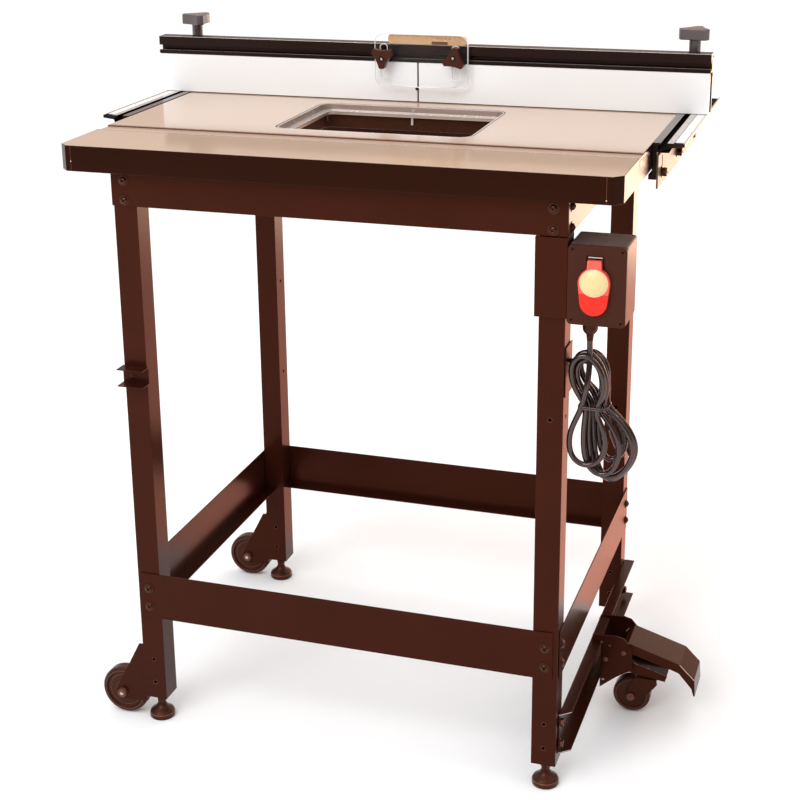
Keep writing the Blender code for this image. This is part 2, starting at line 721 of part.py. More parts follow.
def build_cord():
    route = (
        (GLAND_X, GLAND_Y, 0.7057),
        (GLAND_X, GLAND_Y, 0.6975),
        (GLAND_X, GLAND_Y, 0.6893),
    )
    curve = bpy.data.curves.new("cord_tube", "CURVE")
    curve.dimensions = "3D"
    curve.bevel_depth = CORD_R
    curve.bevel_resolution = 2
    curve.use_fill_caps = True
    spline = curve.splines.new("POLY")
    spline.points.add(len(route) - 1)
    for point, place in zip(spline.points, route):
        point.co = (*place, 1)
    tube = bpy.data.objects.new("cord_tube", curve)
    bpy.context.scene.collection.objects.link(tube)
    add_part(tube, "cord_tube", RUBBER)

    corners = (
        (0.3370, 0.6680), (0.3430, 0.6835), (0.3710, 0.6840), (0.3850, 0.6600), (0.3925, 0.6050),
        (0.4150, 0.5830), (0.4300, 0.5540), (0.4280, 0.5260), (0.4140, 0.4980), (0.3930, 0.4850),
        (0.3720, 0.4880), (0.3580, 0.5080), (0.3400, 0.5200), (0.3345, 0.5460), (0.3400, 0.5760),
        (0.3500, 0.6020), (0.3400, 0.6320),
    )
    hank = extruded(
        "XZ", (smooth_loop(corners, 3),), HANK_Y - HANK_T / 2, HANK_Y + HANK_T / 2, smooth=True
    )
    cut(hank, box(0.3250, 0.3760, HOOK_Y - 0.0045, HOOK_Y + 0.0045, HOOK_Z - 0.0045, HOOK_Z + 0.0045))
    add_part(hank, "cord_hank", RUBBER)

    plate_x = LEG_X + LEG / 2 + GAP
    hook = box(plate_x, plate_x + SHEET, -0.2830, -0.2430, 0.6170, 0.6880)
    join(hook, cylinder(((plate_x + 0.3720) / 2 + 0.0005, HOOK_Y, HOOK_Z), "X", 0.0030, 0.0380, 16))
    add_part(hook, "cord_hook", POWDER_COAT)


def smooth_loop(corners, steps):
    """A closed smooth curve through its corners (Catmull-Rom)."""
    places = [Vector(corner) for corner in corners]
    count = len(places)
    points = []
    for index in range(count):
        a, b = places[index - 1], places[index]
        c, d = places[(index + 1) % count], places[(index + 2) % count]
        for step in range(steps):
            t = step / steps
            place = (
                b * 2 + (c - a) * t + (a * 2 - b * 5 + c * 4 - d) * t ** 2
                + (b * 3 - a - c * 3 + d) * t ** 3
            ) / 2
            points.append(tuple(place))
    return points


def build_plug():
    """Moulded plug with its sleeve, hung behind the hank, blades down."""
    sleeve_r = 0.0055
    profile = (
        (0, 0.0300), (0.0048, 0.0300), (sleeve_r, 0.0100), (0.0090, 0.0030), (0.0130, -0.0020),
        (0.0140, -0.0100), (0.0140, -0.0270), (0.0130, -0.0290), (0, -0.0290),
    )
    plug = turned((0, 0, 0), "Z", profile, 20)
    blades = [
        box(x - 0.0008, x + 0.0008, -0.0032, 0.0032, -0.0460, -0.0270) for x in (-0.0063, 0.0063)
    ]
    join(plug, *blades)
    join(plug, cylinder((0, 0.0080, -0.0370), "Z", 0.0024, 0.0200, 12))
    add_part(plug, "cord_plug", BLACK_PLASTIC)
    lean = Matrix.Rotation(math.radians(-22), 4, "Y")
    put_with_cutters(plug, Matrix.Translation((0.3960, -0.2265, 0.5610)) @ lean)


# ---------------------------------------------------------------- wheels and pedal


def build_left_wheels():
    x, z = WHEEL_X, WHEEL_Z
    bracket_x1 = -LEG_X - LEG / 2 - GAP
    wall, half = 0.0022, 0.0154
    inner = half - wall
    outline = (
        [(bracket_x1, 0.0300), (bracket_x1, 0.1310), (bracket_x1 - 0.0080, 0.1310)]
        + arc((x, z), 0.0125, 165, 285, 8)
    )
    hollow = [
        (bracket_x1 - 0.0015, 0.0100), (bracket_x1 - 0.0015, 0.1500),
        (x - 0.03, 0.1500), (x - 0.03, 0.0100),
    ]
    tread = WHEEL_W / 2
    wheel_profile = (
        (0.0056, tread - 0.001), (0.0110, tread - 0.001), (0.0120, tread - 0.0035),
        (WHEEL_R - 0.0090, tread - 0.0035), (WHEEL_R - 0.0070, tread), (WHEEL_R - 0.0025, tread),
        (WHEEL_R, tread - 0.0035), (WHEEL_R, -tread + 0.0035), (WHEEL_R - 0.0025, -tread),
        (WHEEL_R - 0.0070, -tread), (WHEEL_R - 0.0090, -tread + 0.0035),
        (0.0120, -tread + 0.0035), (0.0110, -tread + 0.001), (0.0056, -tread + 0.001),
        (0.0056, tread - 0.001),
    )
    axle_profile = (
        (0, half + 0.0065), (0.0075, half + 0.0065), (0.0075, half + GAP),
        (0.0050, half + GAP), (0.0050, -half - GAP), (0.0075, -half - GAP),
        (0.0075, -half - 0.0065), (0, -half - 0.0065),
    )
    for y, end_name in ((LEG_FRONT_Y, "front"), (LEG_REAR_Y, "rear")):
        bracket = extruded("XZ", (outline,), y - half, y + half, smooth=True)
        cut(
            bracket,
            extruded("XZ", (hollow,), y - inner, y + inner),
            cylinder((x, y, z), "Y", 0.0054, 0.05, 20),
        )
        add_part(bracket, f"wheel_bracket_{end_name}", POWDER_COAT)
        wheel = turned((x, y, z), "Y", wheel_profile, 32)
        add_part(wheel, f"wheel_{end_name}", RUBBER)
        axle = turned((x, y, z), "Y", axle_profile, 16)
        add_part(axle, f"wheel_axle_{end_name}", STEEL)


def build_cross_channel():
    x0, x1, z0, z1, wall = CHANNEL_X0, CHANNEL_X1, CHANNEL_Z0, CHANNEL_Z1, 0.0018
    front, back = LEG_FRONT_Y - 0.0050, LEG_REAR_Y + 0.0175
    section = (
        (x0, z0), (x1, z0), (x1, z0 + wall), (x0 + wall, z0 + wall),
        (x0 + wall, z1 - wall), (x1, z1 - wall), (x1, z1), (x0, z1),
    )
    channel = extruded("XZ", (section,), front, back)
    end_cut = (
        (x0 + wall, front - 0.02), (x1 + 0.004, front - 0.02), (x1 + 0.004, front + 0.0170),
        (x0 + wall, front),
    )
    cut(channel, extruded("XY", (end_cut,), z0 - 0.01, z1 + 0.01))
    add_part(channel, "cross_channel", POWDER_COAT)


def build_pedal_bracket():
    face = CHANNEL_X1 + 0.0004
    cheek = (
        (0.3360, 0.1320), (0.3740, 0.1350), (0.3860, 0.1320), (0.3930, 0.1240), (0.3990, 0.1180),
        (0.4000, 0.1070), (0.4000, 0.0910), (0.4030, 0.0780), (0.3910, 0.0730), (0.3760, 0.0630),
        (0.3500, 0.0410), (face, 0.0410), (face, CHANNEL_Z1 + 0.0006), (0.3360, CHANNEL_Z1 + 0.0006),
    )
    reach = CHEEK_Y + CHEEK_T / 2
    inner = CHEEK_Y - CHEEK_T / 2
    bracket = extruded("XZ", (cheek,), PEDAL_Y - reach, PEDAL_Y + reach)
    hollow = (
        (face + CHEEK_T, 0.0300), (0.4200, 0.0300), (0.4200, 0.1500), (0.3300, 0.1500),
        (0.3300, CHANNEL_Z1 + 0.0100), (face + CHEEK_T, CHANNEL_Z1 + 0.0100),
    )
    cut(
        bracket,
        extruded("XZ", (hollow,), PEDAL_Y - inner, PEDAL_Y + inner),
        cylinder((0.3545, PEDAL_Y, 0.0550), "Y", 0.0022, 0.1, 12),
    )
    add_part(bracket, "pedal_bracket", POWDER_COAT)


def build_pedal():
    half, wall = 0.0322, 0.0022
    outline = (
        [(0.3930, 0.1240), (0.3850, 0.1200)]
        + arc(PEDAL_PIVOT, 0.0085, 130, 260, 6)
        + [(0.4000, 0.1050), (0.4380, 0.0940), (0.4610, 0.0880), (0.4730, 0.0840),
           (0.4940, 0.0600), (0.4976, 0.0475), (0.5000, 0.0475), (0.4980, 0.0760), (0.4750, 0.0990)]
    )
    hollow = (
        (0.3650, 0.0900), (0.3650, 0.1155), (0.3860, 0.1175), (0.3932, 0.1216), (0.4741, 0.0968),
        (0.4958, 0.0751), (0.4977, 0.0400), (0.4750, 0.0400), (0.4300, 0.0700),
    )
    pedal = extruded("XZ", (outline,), PEDAL_Y - half, PEDAL_Y + half)
    cut(
        pedal,
        extruded("XZ", (hollow,), PEDAL_Y - half + wall, PEDAL_Y + half - wall),
    )
    add_part(pedal, "pedal", POWDER_COAT)
    move_origin(pedal, Vector((PEDAL_PIVOT[0], PEDAL_Y, PEDAL_PIVOT[1])))


def build_caster():
    half, wall = 0.0280, 0.0022
    outline = (
        arc(ARM_PIVOT, 0.0052, 75, 255, 8)
        + [(0.4040, 0.0690), (0.4520, 0.0630), (0.4550, 0.0740), (0.4000, 0.0890)]
    )
    hollow = (
        (0.3640, 0.1100), (0.3640, 0.0880), (0.4050, 0.0715), (0.4700, 0.0634), (0.4700, 0.1100),
    )
    arm = extruded("XZ", (outline,), PEDAL_Y - half, PEDAL_Y + half)
    cut(
        arm,
        extruded("XZ", (hollow,), PEDAL_Y - half + wall, PEDAL_Y + half - wall),
        cylinder((CASTER_X, CASTER_Y, 0.0680), "Z", 0.0045, 0.03, 20),
    )
    add_part(arm, "caster_arm", POWDER_COAT)
    move_origin(arm, Vector((ARM_PIVOT[0], PEDAL_Y, ARM_PIVOT[1])))

    side, plate = 0.0152, 0.0022
    fork_top = 0.0640
    fork_outline = (
        [(0.4060, fork_top), (0.4000, 0.0560)]
        + arc((AXLE_X, AXLE_Z), 0.0090, 160, 300, 7)
        + [(0.4280, 0.0400), (0.4400, 0.0560), (0.4390, fork_top)]
    )
    fork = extruded("XZ", (fork_outline,), CASTER_Y - side, CASTER_Y + side, smooth=True)
    cut(
        fork,
        box(0.3800, 0.4600, CASTER_Y - side + plate, CASTER_Y + side - plate, 0.0100, fork_top - 0.0024),
        cylinder((AXLE_X, CASTER_Y, AXLE_Z), "Y", 0.0043, 0.05, 20),
        cylinder((CASTER_X, CASTER_Y, fork_top), "Z", 0.0045, 0.02, 20),
    )
    add_part(fork, "caster_fork", STEEL)

    pin = (
        (0, 0.0760), (0.0075, 0.0760), (0.0075, 0.0710), (0.0040, 0.0710), (0.0040, 0.0612),
        (0.0068, 0.0612), (0.0068, 0.0600), (0, 0.0600),
    )
    add_part(turned((CASTER_X, CASTER_Y, 0), "Z", pin, 20), "caster_pin", STEEL)

    tread, bore = CASTER_W / 2, 0.0045
    wheel = (
        (bore, tread), (0.0090, tread), (0.0100, tread - 0.0025), (CASTER_R - 0.0080, tread - 0.0025),
        (CASTER_R - 0.0065, tread - 0.0005), (CASTER_R - 0.0020, tread - 0.0005),
        (CASTER_R, tread - 0.0030), (CASTER_R, -tread + 0.0030), (CASTER_R - 0.0020, -tread + 0.0005),
        (CASTER_R - 0.0065, -tread + 0.0005), (CASTER_R - 0.0080, -tread + 0.0025),
        (0.0100, -tread + 0.0025), (0.0090, -tread), (bore, -tread), (bore, tread),
    )
    add_part(turned((AXLE_X, CASTER_Y, AXLE_Z), "Y", wheel, 28), "caster_wheel", RUBBER)
    axle = (
        (0, side + 0.0045), (0.0065, side + 0.0045), (0.0065, side + GAP), (0.0040, side + GAP),
        (0.0040, -side - GAP), (0.0065, -side - GAP), (0.0065, -side - 0.0045), (0, -side - 0.0045),
    )
    add_part(turned((AXLE_X, CASTER_Y, AXLE_Z), "Y", axle, 16), "caster_axle", STEEL)


build_table()
build_legs()
build_rails()
build_feet()
build_leg_sleeve()
build_tool_holder()
build_side_rails()
build_fence()
build_fence_brackets()
build_clamp_knobs()
build_guard()
build_switch()
build_switch_flap()
build_gland()
build_cord()
build_plug()
build_left_wheels()
build_cross_channel()
build_pedal_bracket()
build_pedal()
build_caster()
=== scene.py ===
"""Looks of the router table: finer surfaces, fittings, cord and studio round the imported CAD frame."""

import json
import math

import bmesh
import bpy
from mathutils import Matrix, Vector


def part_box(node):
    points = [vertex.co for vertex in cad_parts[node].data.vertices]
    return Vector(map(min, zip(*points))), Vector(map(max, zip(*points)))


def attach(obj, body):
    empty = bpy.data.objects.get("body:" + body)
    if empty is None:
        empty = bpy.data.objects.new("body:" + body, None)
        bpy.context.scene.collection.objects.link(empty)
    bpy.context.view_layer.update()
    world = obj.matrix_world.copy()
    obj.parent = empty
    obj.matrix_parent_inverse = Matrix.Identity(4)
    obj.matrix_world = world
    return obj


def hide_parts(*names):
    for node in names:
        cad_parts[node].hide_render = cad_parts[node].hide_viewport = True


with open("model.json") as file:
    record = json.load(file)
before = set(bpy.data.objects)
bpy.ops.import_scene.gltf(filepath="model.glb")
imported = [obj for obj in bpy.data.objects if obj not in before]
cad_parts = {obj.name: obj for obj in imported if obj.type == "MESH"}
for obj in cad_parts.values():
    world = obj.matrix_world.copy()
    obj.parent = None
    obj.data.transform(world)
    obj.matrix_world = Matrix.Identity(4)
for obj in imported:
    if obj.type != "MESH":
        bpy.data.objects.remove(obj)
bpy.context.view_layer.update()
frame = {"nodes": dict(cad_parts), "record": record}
BODY_OF = {
    node: body for body, nodes in frame["record"]["behaviour"]["bodies"].items() for node in nodes
}

# ---------------------------------------------------------------- places read from the frame


def middle(node):
    low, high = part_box(node)
    return (low + high) / 2


STAND_X = middle("table_top").x
TABLE_LOW, TABLE_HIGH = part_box("table_top")
TABLE_TOP = TABLE_HIGH.z


def place(x, y, z):
    """A point in the stand's frame, whose X is measured from the table's middle."""
    return Vector((STAND_X + x, y, z))


# ---------------------------------------------------------------- camera, light and floor
CAMERA_PLACE = place(0.7578, -2.2994, 1.3885)
CAMERA_YAW = math.radians(19.01)
CAMERA_PITCH = math.radians(17.81)
CAMERA_ROLL = math.radians(-0.854)
CAMERA_LENS = 72.36
CAMERA_SHIFT = (0.0307, -0.0991)


def build_camera():
    forward = Vector((
        -math.sin(CAMERA_YAW) * math.cos(CAMERA_PITCH),
        math.cos(CAMERA_YAW) * math.cos(CAMERA_PITCH),
        -math.sin(CAMERA_PITCH),
    ))
    right = Vector((math.cos(CAMERA_YAW), math.sin(CAMERA_YAW), 0))
    up = right.cross(forward)
    tilted_right = right * math.cos(CAMERA_ROLL) + up * math.sin(CAMERA_ROLL)
    tilted_up = up * math.cos(CAMERA_ROLL) - right * math.sin(CAMERA_ROLL)
    data = bpy.data.cameras.new("camera")
    data.sensor_width = 36
    data.lens = CAMERA_LENS
    data.shift_x, data.shift_y = CAMERA_SHIFT
    camera = bpy.data.objects.new("camera", data)
    bpy.context.scene.collection.objects.link(camera)
    turn = Matrix((tilted_right, tilted_up, -forward)).transposed().to_4x4()
    camera.matrix_world = Matrix.Translation(CAMERA_PLACE) @ turn
    bpy.context.scene.camera = camera


def add_area_light(name, location, target, size, power, colour):
    data = bpy.data.lights.new(name, "AREA")
    data.shape = "RECTANGLE"
    data.size, data.size_y = size
    data.energy = power
    data.color = colour
    light = bpy.data.objects.new(name, data)
    light.location = location
    light.visible_camera = False
    light.rotation_euler = (Vector(target) - Vector(location)).to_track_quat("-Z", "Y").to_euler()
    bpy.context.scene.collection.objects.link(light)


def build_world():
    """Surroundings: dark and warm in front, tan behind and to the right, white overhead."""
    world = bpy.data.worlds.new("studio")
    world.use_nodes = True
    nodes, links = world.node_tree.nodes, world.node_tree.links
    coordinates = nodes.new("ShaderNodeTexCoord")
    split = nodes.new("ShaderNodeSeparateXYZ")
    links.new(coordinates.outputs["Generated"], split.inputs["Vector"])

    def blend(axis, start, end, low, high):
        share = nodes.new("ShaderNodeMapRange")
        share.interpolation_type = "SMOOTHSTEP"
        share.inputs["From Min"].default_value = start
        share.inputs["From Max"].default_value = end
        links.new(split.outputs[axis], share.inputs["Value"])
        mix = nodes.new("ShaderNodeMix")
        mix.data_type = "RGBA"
        for socket, colour in (("A", low), ("B", high)):
            if isinstance(colour, tuple):
                mix.inputs[socket].default_value = (*colour, 1)
            else:
                links.new(colour, mix.inputs[socket])
        links.new(share.outputs["Result"], mix.inputs["Factor"])
        return mix.outputs["Result"]

    rear = blend("X", -0.6, 0.5, (0.56, 0.47, 0.43), (0.80, 0.56, 0.40))
    round_about = blend("Y", -0.5, 0.6, (0.16, 0.12, 0.11), rear)
    links.new(blend("Z", 0.22, 0.80, round_about, (1.42, 1.42, 1.42)), nodes["Background"].inputs["Color"])
    nodes["Background"].inputs["Strength"].default_value = 1.0
    bpy.context.scene.world = world
    bpy.context.scene.view_settings.view_transform = "Standard"


def build_studio():
    build_world()
    add_area_light("front_top", (-1.0, -3.3, 3.1), (0, 0, 0.8), (2.6, 2.6), 100, (0.98, 0.99, 1.0))
    add_area_light("warm_rear", (0.80, 2.3, 0.55), (0.40, 0, 0.60), (0.8, 0.9), 10, (1.0, 0.60, 0.36))

    builder = bmesh.new()
    rounded_slab(builder, (-0.25, 0.30, 0.0010), (2.6, 2.7, 0.0030), 0.05, 2)
    card = object_from(builder, "warm_card", WARM_CARD)
    card.visible_camera = card.visible_diffuse = card.visible_transmission = card.visible_shadow = False

    builder = bmesh.new()
    bmesh.ops.create_grid(builder, x_segments=1, y_segments=1, size=40)
    floor = object_from(builder, "floor", FLOOR)
    floor.location.z = -0.0004


# ---------------------------------------------------------------- materials


def make_material(
    name, colour, roughness, metallic=0.0, tone=0.06, grain=260.0, stretch=(1, 1, 1),
    bump=0.04, rough_spread=0.06, coat=0.0, specular=0.5, speckle=None, tint=(1, 1, 1), alpha=1.0,
):
    """A Principled material with cloudy tone, fine grain in its bump and uneven gloss."""
    material = bpy.data.materials.new(name)
    material.use_nodes = True
    nodes, links = material.node_tree.nodes, material.node_tree.links
    shader = nodes["Principled BSDF"]
    shader.inputs["Metallic"].default_value = metallic
    shader.inputs["Coat Weight"].default_value = coat
    shader.inputs["Coat Roughness"].default_value = 0.06
    shader.inputs["Specular IOR Level"].default_value = specular
    shader.inputs["Specular Tint"].default_value = (*tint, 1)
    shader.inputs["Alpha"].default_value = alpha

    coordinates = nodes.new("ShaderNodeTexCoord")
    mapping = nodes.new("ShaderNodeMapping")
    mapping.inputs["Scale"].default_value = stretch
    links.new(coordinates.outputs["Object"], mapping.inputs["Vector"])

    cloud = nodes.new("ShaderNodeTexNoise")
    cloud.inputs["Scale"].default_value = 9.0
    cloud.inputs["Detail"].default_value = 4.0
    links.new(coordinates.outputs["Object"], cloud.inputs["Vector"])
    fine = nodes.new("ShaderNodeTexNoise")
    fine.inputs["Scale"].default_value = grain
    fine.inputs["Detail"].default_value = 3.0
    links.new(mapping.outputs["Vector"], fine.inputs["Vector"])

    base = add_tone(nodes, links, cloud.outputs["Fac"], colour, tone)
    if speckle:
        base = add_speckle(nodes, links, coordinates, base, speckle)
    links.new(base, shader.inputs["Base Color"])

    gloss = nodes.new("ShaderNodeMapRange")
    gloss.inputs["To Min"].default_value = max(0.02, roughness - rough_spread)
    gloss.inputs["To Max"].default_value = roughness + rough_spread
    links.new(fine.outputs["Fac"], gloss.inputs["Value"])
    links.new(gloss.outputs["Result"], shader.inputs["Roughness"])

    relief = nodes.new("ShaderNodeBump")
    relief.inputs["Strength"].default_value = bump
    relief.inputs["Distance"].default_value = 0.0006
    links.new(fine.outputs["Fac"], relief.inputs["Height"])
    links.new(relief.outputs["Normal"], shader.inputs["Normal"])
    return material


def add_tone(nodes, links, factor, colour, tone):
    """The colour, darker or lighter by up to tone as the noise varies."""
    ramp = nodes.new("ShaderNodeValToRGB")
    low, high = ramp.color_ramp.elements
    low.position, high.position = 0.30, 0.70
    low.color = (*[c * (1 - tone) for c in colour], 1)
    high.color = (*[min(1.0, c * (1 + tone)) for c in colour], 1)
    links.new(factor, ramp.inputs["Fac"])
    return ramp.outputs["Color"]


def add_speckle(nodes, links, coordinates, base, speckle):
    """Small flecks of another colour: (colour, scale, share)."""
    colour, scale, share = speckle
    flecks = nodes.new("ShaderNodeTexNoise")
    flecks.inputs["Scale"].default_value = scale
    flecks.inputs["Detail"].default_value = 2.0
    links.new(coordinates.outputs["Object"], flecks.inputs["Vector"])
    edge = nodes.new("ShaderNodeMapRange")
    edge.inputs["From Min"].default_value = 1 - share
    edge.inputs["From Max"].default_value = 1 - share + 0.06
    links.new(flecks.outputs["Fac"], edge.inputs["Value"])
    mix = nodes.new("ShaderNodeMix")
    mix.data_type = "RGBA"
    mix.inputs["B"].default_value = (*colour, 1)
    links.new(base, mix.inputs["A"])
    links.new(edge.outputs["Result"], mix.inputs["Factor"])
    return mix.outputs["Result"]


MARK_SPACING = 0.005
MARK_WIDTH = 0.00044


def make_scale_material():
    """White strip with a thin mark across it every 5 mm, along Y."""
    material = make_material("scale_strip", (0.86, 0.85, 0.83), 0.35, bump=0.01)
    nodes, links = material.node_tree.nodes, material.node_tree.links
    shader = nodes["Principled BSDF"]
    plain = shader.inputs["Base Color"].links[0].from_socket
    coordinates = nodes.new("ShaderNodeTexCoord")
    split = nodes.new("ShaderNodeSeparateXYZ")
    links.new(coordinates.outputs["Object"], split.inputs["Vector"])
    repeat = nodes.new("ShaderNodeMath")
    repeat.operation = "PINGPONG"
    repeat.inputs[1].default_value = MARK_SPACING / 2
    links.new(split.outputs["Y"], repeat.inputs[0])
    mark = nodes.new("ShaderNodeMath")
    mark.operation = "LESS_THAN"
    mark.inputs[1].default_value = MARK_WIDTH / 2
    links.new(repeat.outputs["Value"], mark.inputs[0])
    mix = nodes.new("ShaderNodeMix")
    mix.data_type = "RGBA"
    mix.inputs["B"].default_value = (0.42, 0.38, 0.37, 1)
    links.new(plain, mix.inputs["A"])
    links.new(mark.outputs["Value"], mix.inputs["Factor"])
    links.new(mix.outputs["Result"], shader.inputs["Base Color"])
    return material


def make_card_material():
    """Glowing card for the stage, seen only in reflections."""
    material = make_material("warm_card", (0.02, 0.02, 0.02), 0.9, specular=0.0)
    shader = material.node_tree.nodes["Principled BSDF"]
    shader.inputs["Emission Color"].default_value = (1.0, 0.44, 0.32, 1)
    shader.inputs["Emission Strength"].default_value = 1.85
    return material


WARM = (1.0, 0.34, 0.20)
WARM_CARD = make_card_material()
FLOOR = make_material("pale_floor", (0.93, 0.94, 0.95), 0.85, tone=0.01, grain=40, bump=0.0, specular=0.1)
POWDER = make_material(
    "powder_coat", (0.029, 0.0062, 0.0032), 0.24, tone=0.10, grain=900, bump=0.07, specular=0.22, tint=WARM,
    speckle=((0.034, 0.008, 0.004), 700, 0.35),
)
LAMINATE = make_material(
    "laminate", (0.56, 0.395, 0.285), 0.12, tone=0.02, grain=1400, bump=0.02, rough_spread=0.02,
    speckle=((0.515, 0.355, 0.250), 1100, 0.42), specular=0.6, coat=0.25,
)
EDGE_BAND = make_material(
    "edge_band", (0.0085, 0.0022, 0.0010), 0.20, tone=0.12, grain=500, bump=0.03, specular=0.22, tint=WARM,
)
BOARD_CORE = make_material(
    "board_core", (0.034, 0.012, 0.006), 0.80, tone=0.14, grain=700, bump=0.2, specular=0.2, tint=WARM,
    speckle=((0.022, 0.008, 0.004), 500, 0.45),
)
WHITE_BOARD = make_material(
    "white_melamine", (0.85, 0.857, 0.860), 0.30, tone=0.01, grain=1200, bump=0.03,
    speckle=((0.825, 0.832, 0.835), 900, 0.40),
)
ALUMINIUM = make_material(
    "brushed_aluminium", (0.40, 0.295, 0.245), 0.32, metallic=0.65, tone=0.04, grain=420,
    stretch=(0.05, 1, 1), bump=0.05,
)
BRIGHT_METAL = make_material(
    "bright_metal", (0.56, 0.50, 0.475), 0.26, metallic=0.35, tone=0.05, grain=520,
    stretch=(1, 0.05, 1), bump=0.05,
)
PLATE_METAL = make_material(
    "plated_rail_plate", (0.12, 0.070, 0.036), 0.34, metallic=0.15, tone=0.06, grain=420,
    stretch=(1, 0.05, 1), bump=0.05,
)
ANODISED = make_material(
    "black_anodised", (0.0075, 0.0040, 0.0034), 0.24, tone=0.10, grain=520,
    stretch=(0.04, 1, 1), bump=0.04, specular=0.24, tint=(1.0, 0.60, 0.50),
)
PLASTIC = make_material(
    "moulded_plastic", (0.032, 0.012, 0.009), 0.30, tone=0.08, grain=1500, bump=0.16,
    specular=0.34, tint=WARM,
)
SLATE_PLASTIC = make_material(
    "slate_plastic", (0.080, 0.056, 0.057), 0.22, tone=0.08, grain=1300, bump=0.12, specular=0.8,
)
KNOB_PLASTIC = make_material(
    "knob_plastic", (0.040, 0.015, 0.011), 0.26, tone=0.10, grain=1300, bump=0.15, specular=0.5, tint=WARM,
)
RED = make_material("red_plastic", (0.86, 0.022, 0.010), 0.28, tone=0.04, grain=900, bump=0.05, specular=0.2)
# A paler red for the switch flap's upper part.
PALE_RED = make_material("paler_red_plastic", (0.86, 0.088, 0.062), 0.30, tone=0.04, grain=900, bump=0.05)
GREEN = make_material("green_plastic", (0.05, 0.32, 0.10), 0.35, tone=0.05, grain=900, bump=0.05)
CREAM = make_material(
    "cream_disc", (0.76, 0.60, 0.285), 0.34, tone=0.02, grain=900, bump=0.03,
    speckle=((0.66, 0.47, 0.21), 420, 0.36),
)
WHITE_RIM = make_material("white_rim", (0.82, 0.70, 0.48), 0.30, tone=0.02, grain=900, bump=0.03)
LABEL = make_material(
    "tan_label", (0.56, 0.34, 0.17), 0.45, tone=0.04, grain=500, bump=0.02,
    speckle=((0.68, 0.45, 0.24), 260, 0.42),
)
JACKET = make_material(
    "cord_jacket", (0.017, 0.0095, 0.0090), 0.13, tone=0.08, grain=700, bump=0.02, rough_spread=0.03,
    specular=0.8, tint=(1.0, 0.80, 0.76),
)
WHEEL_BROWN = make_material(
    "wheel_plastic", (0.028, 0.0075, 0.0035), 0.30, tone=0.10, grain=800, bump=0.12, specular=0.28, tint=WARM,
)
RING_BROWN = make_material(
    "wheel_rib", (0.110, 0.048, 0.034), 0.34, tone=0.08, grain=900, bump=0.08, specular=0.5, tint=WARM,
)
# Painted highlight: a light edge colour for the upward bevels of the pedal, cross channel and caster arm.
EDGE_HIGHLIGHT = make_material(
    "lit_edge", (0.62, 0.46, 0.42), 0.26, tone=0.15, grain=700, bump=0.05, specular=0.6,
)
ZINC = make_material("zinc_plate", (0.62, 0.56, 0.52), 0.28, metallic=1.0, tone=0.12, grain=300, bump=0.05)
DARK_BOLT = make_material(
    "dark_bolt", (0.016, 0.007, 0.005), 0.20, tone=0.15, grain=600, bump=0.05, specular=0.6, tint=WARM,
)
SHADOW = make_material(
    "shadow_gap", (0.008, 0.004, 0.003), 0.90, tone=0.05, grain=200, bump=0.02, specular=0.1,
)
CLEAR = make_material(
    "clear_plastic_sheet", (0.92, 0.90, 0.88), 0.06, bump=0.01, rough_spread=0.02, alpha=0.008,
)
CLEAR_EDGE = make_material("clear_cut_edge", (0.90, 0.87, 0.86), 0.12, tone=0.02, bump=0.02, alpha=0.72)
SCALE = make_scale_material()

# ---------------------------------------------------------------- mesh helpers
SMOOTH_ANGLE = 35
BOLT_SIDES = 18
BEAD_SIDES = 8
ENDS = ("front", "rear")
SIDES = ("left", "right")


def object_from(builder, name, *materials):
    mesh = bpy.data.meshes.new(name)
    builder.to_mesh(mesh)
    builder.free()
    for material in materials:
        mesh.materials.append(material)
    mesh.shade_smooth()
    set_weighted_normals(mesh, math.cos(math.radians(SMOOTH_ANGLE)))
    obj = bpy.data.objects.new(name, mesh)
    bpy.context.scene.collection.objects.link(obj)
    return obj


def set_weighted_normals(mesh, least_cosine):
    """Corner normals weighted by face area, so that flat faces stay flat beside their soft edges."""
    around = [[] for _ in mesh.vertices]
    for face in mesh.polygons:
        for vertex in face.vertices:
            around[vertex].append((face.normal.copy(), face.area))
    normals = []
    for face in mesh.polygons:
        for vertex in face.vertices:
            total = Vector((0, 0, 0))
            for normal, area in around[vertex]:
                if normal.dot(face.normal) > least_cosine:
                    total += normal * area
            normals.append(total.normalized() if total.length > 1e-12 else face.normal.copy())
    mesh.normals_split_custom_set(normals)


def bevel_sharp_edges(builder, width, segments, angle=28):
    edges = [
        edge for edge in builder.edges
        if len(edge.link_faces) == 2 and edge.calc_face_angle(0) > math.radians(angle)
    ]
    if edges and width:
        bmesh.ops.bevel(
            builder, geom=edges, offset=width, segments=segments, profile=0.5,
            affect="EDGES", clamp_overlap=True,
        )


def node_builder(node):
    """The CAD node's surface as a clean editable mesh."""
    builder = bmesh.new()
    builder.from_mesh(frame["nodes"][node].data)
    bmesh.ops.remove_doubles(builder, verts=builder.verts, dist=0.00002)
    bmesh.ops.dissolve_limit(
        builder, angle_limit=math.radians(1.0), verts=builder.verts, edges=builder.edges,
    )
    return builder


def refine(node, *materials, width=0.0006, segments=2, angle=28, choose=None):
    """Stands for a CAD node with softened edges; choose picks each face's material."""
    builder = node_builder(node)
    bevel_sharp_edges(builder, width, segments, angle)
    if choose:
        for face in builder.faces:
            face.material_index = choose(face)
    piece = object_from(builder, f"{node}_surface", *materials)
    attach(piece, BODY_OF[node])
    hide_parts(node)
    return piece


def add_box(builder, low, high):
    low, high = Vector(low), Vector(high)
    size = Matrix.Diagonal((*(high - low), 1))
    return bmesh.ops.create_cube(builder, size=1, matrix=Matrix.Translation((low + high) / 2) @ size)["verts"]


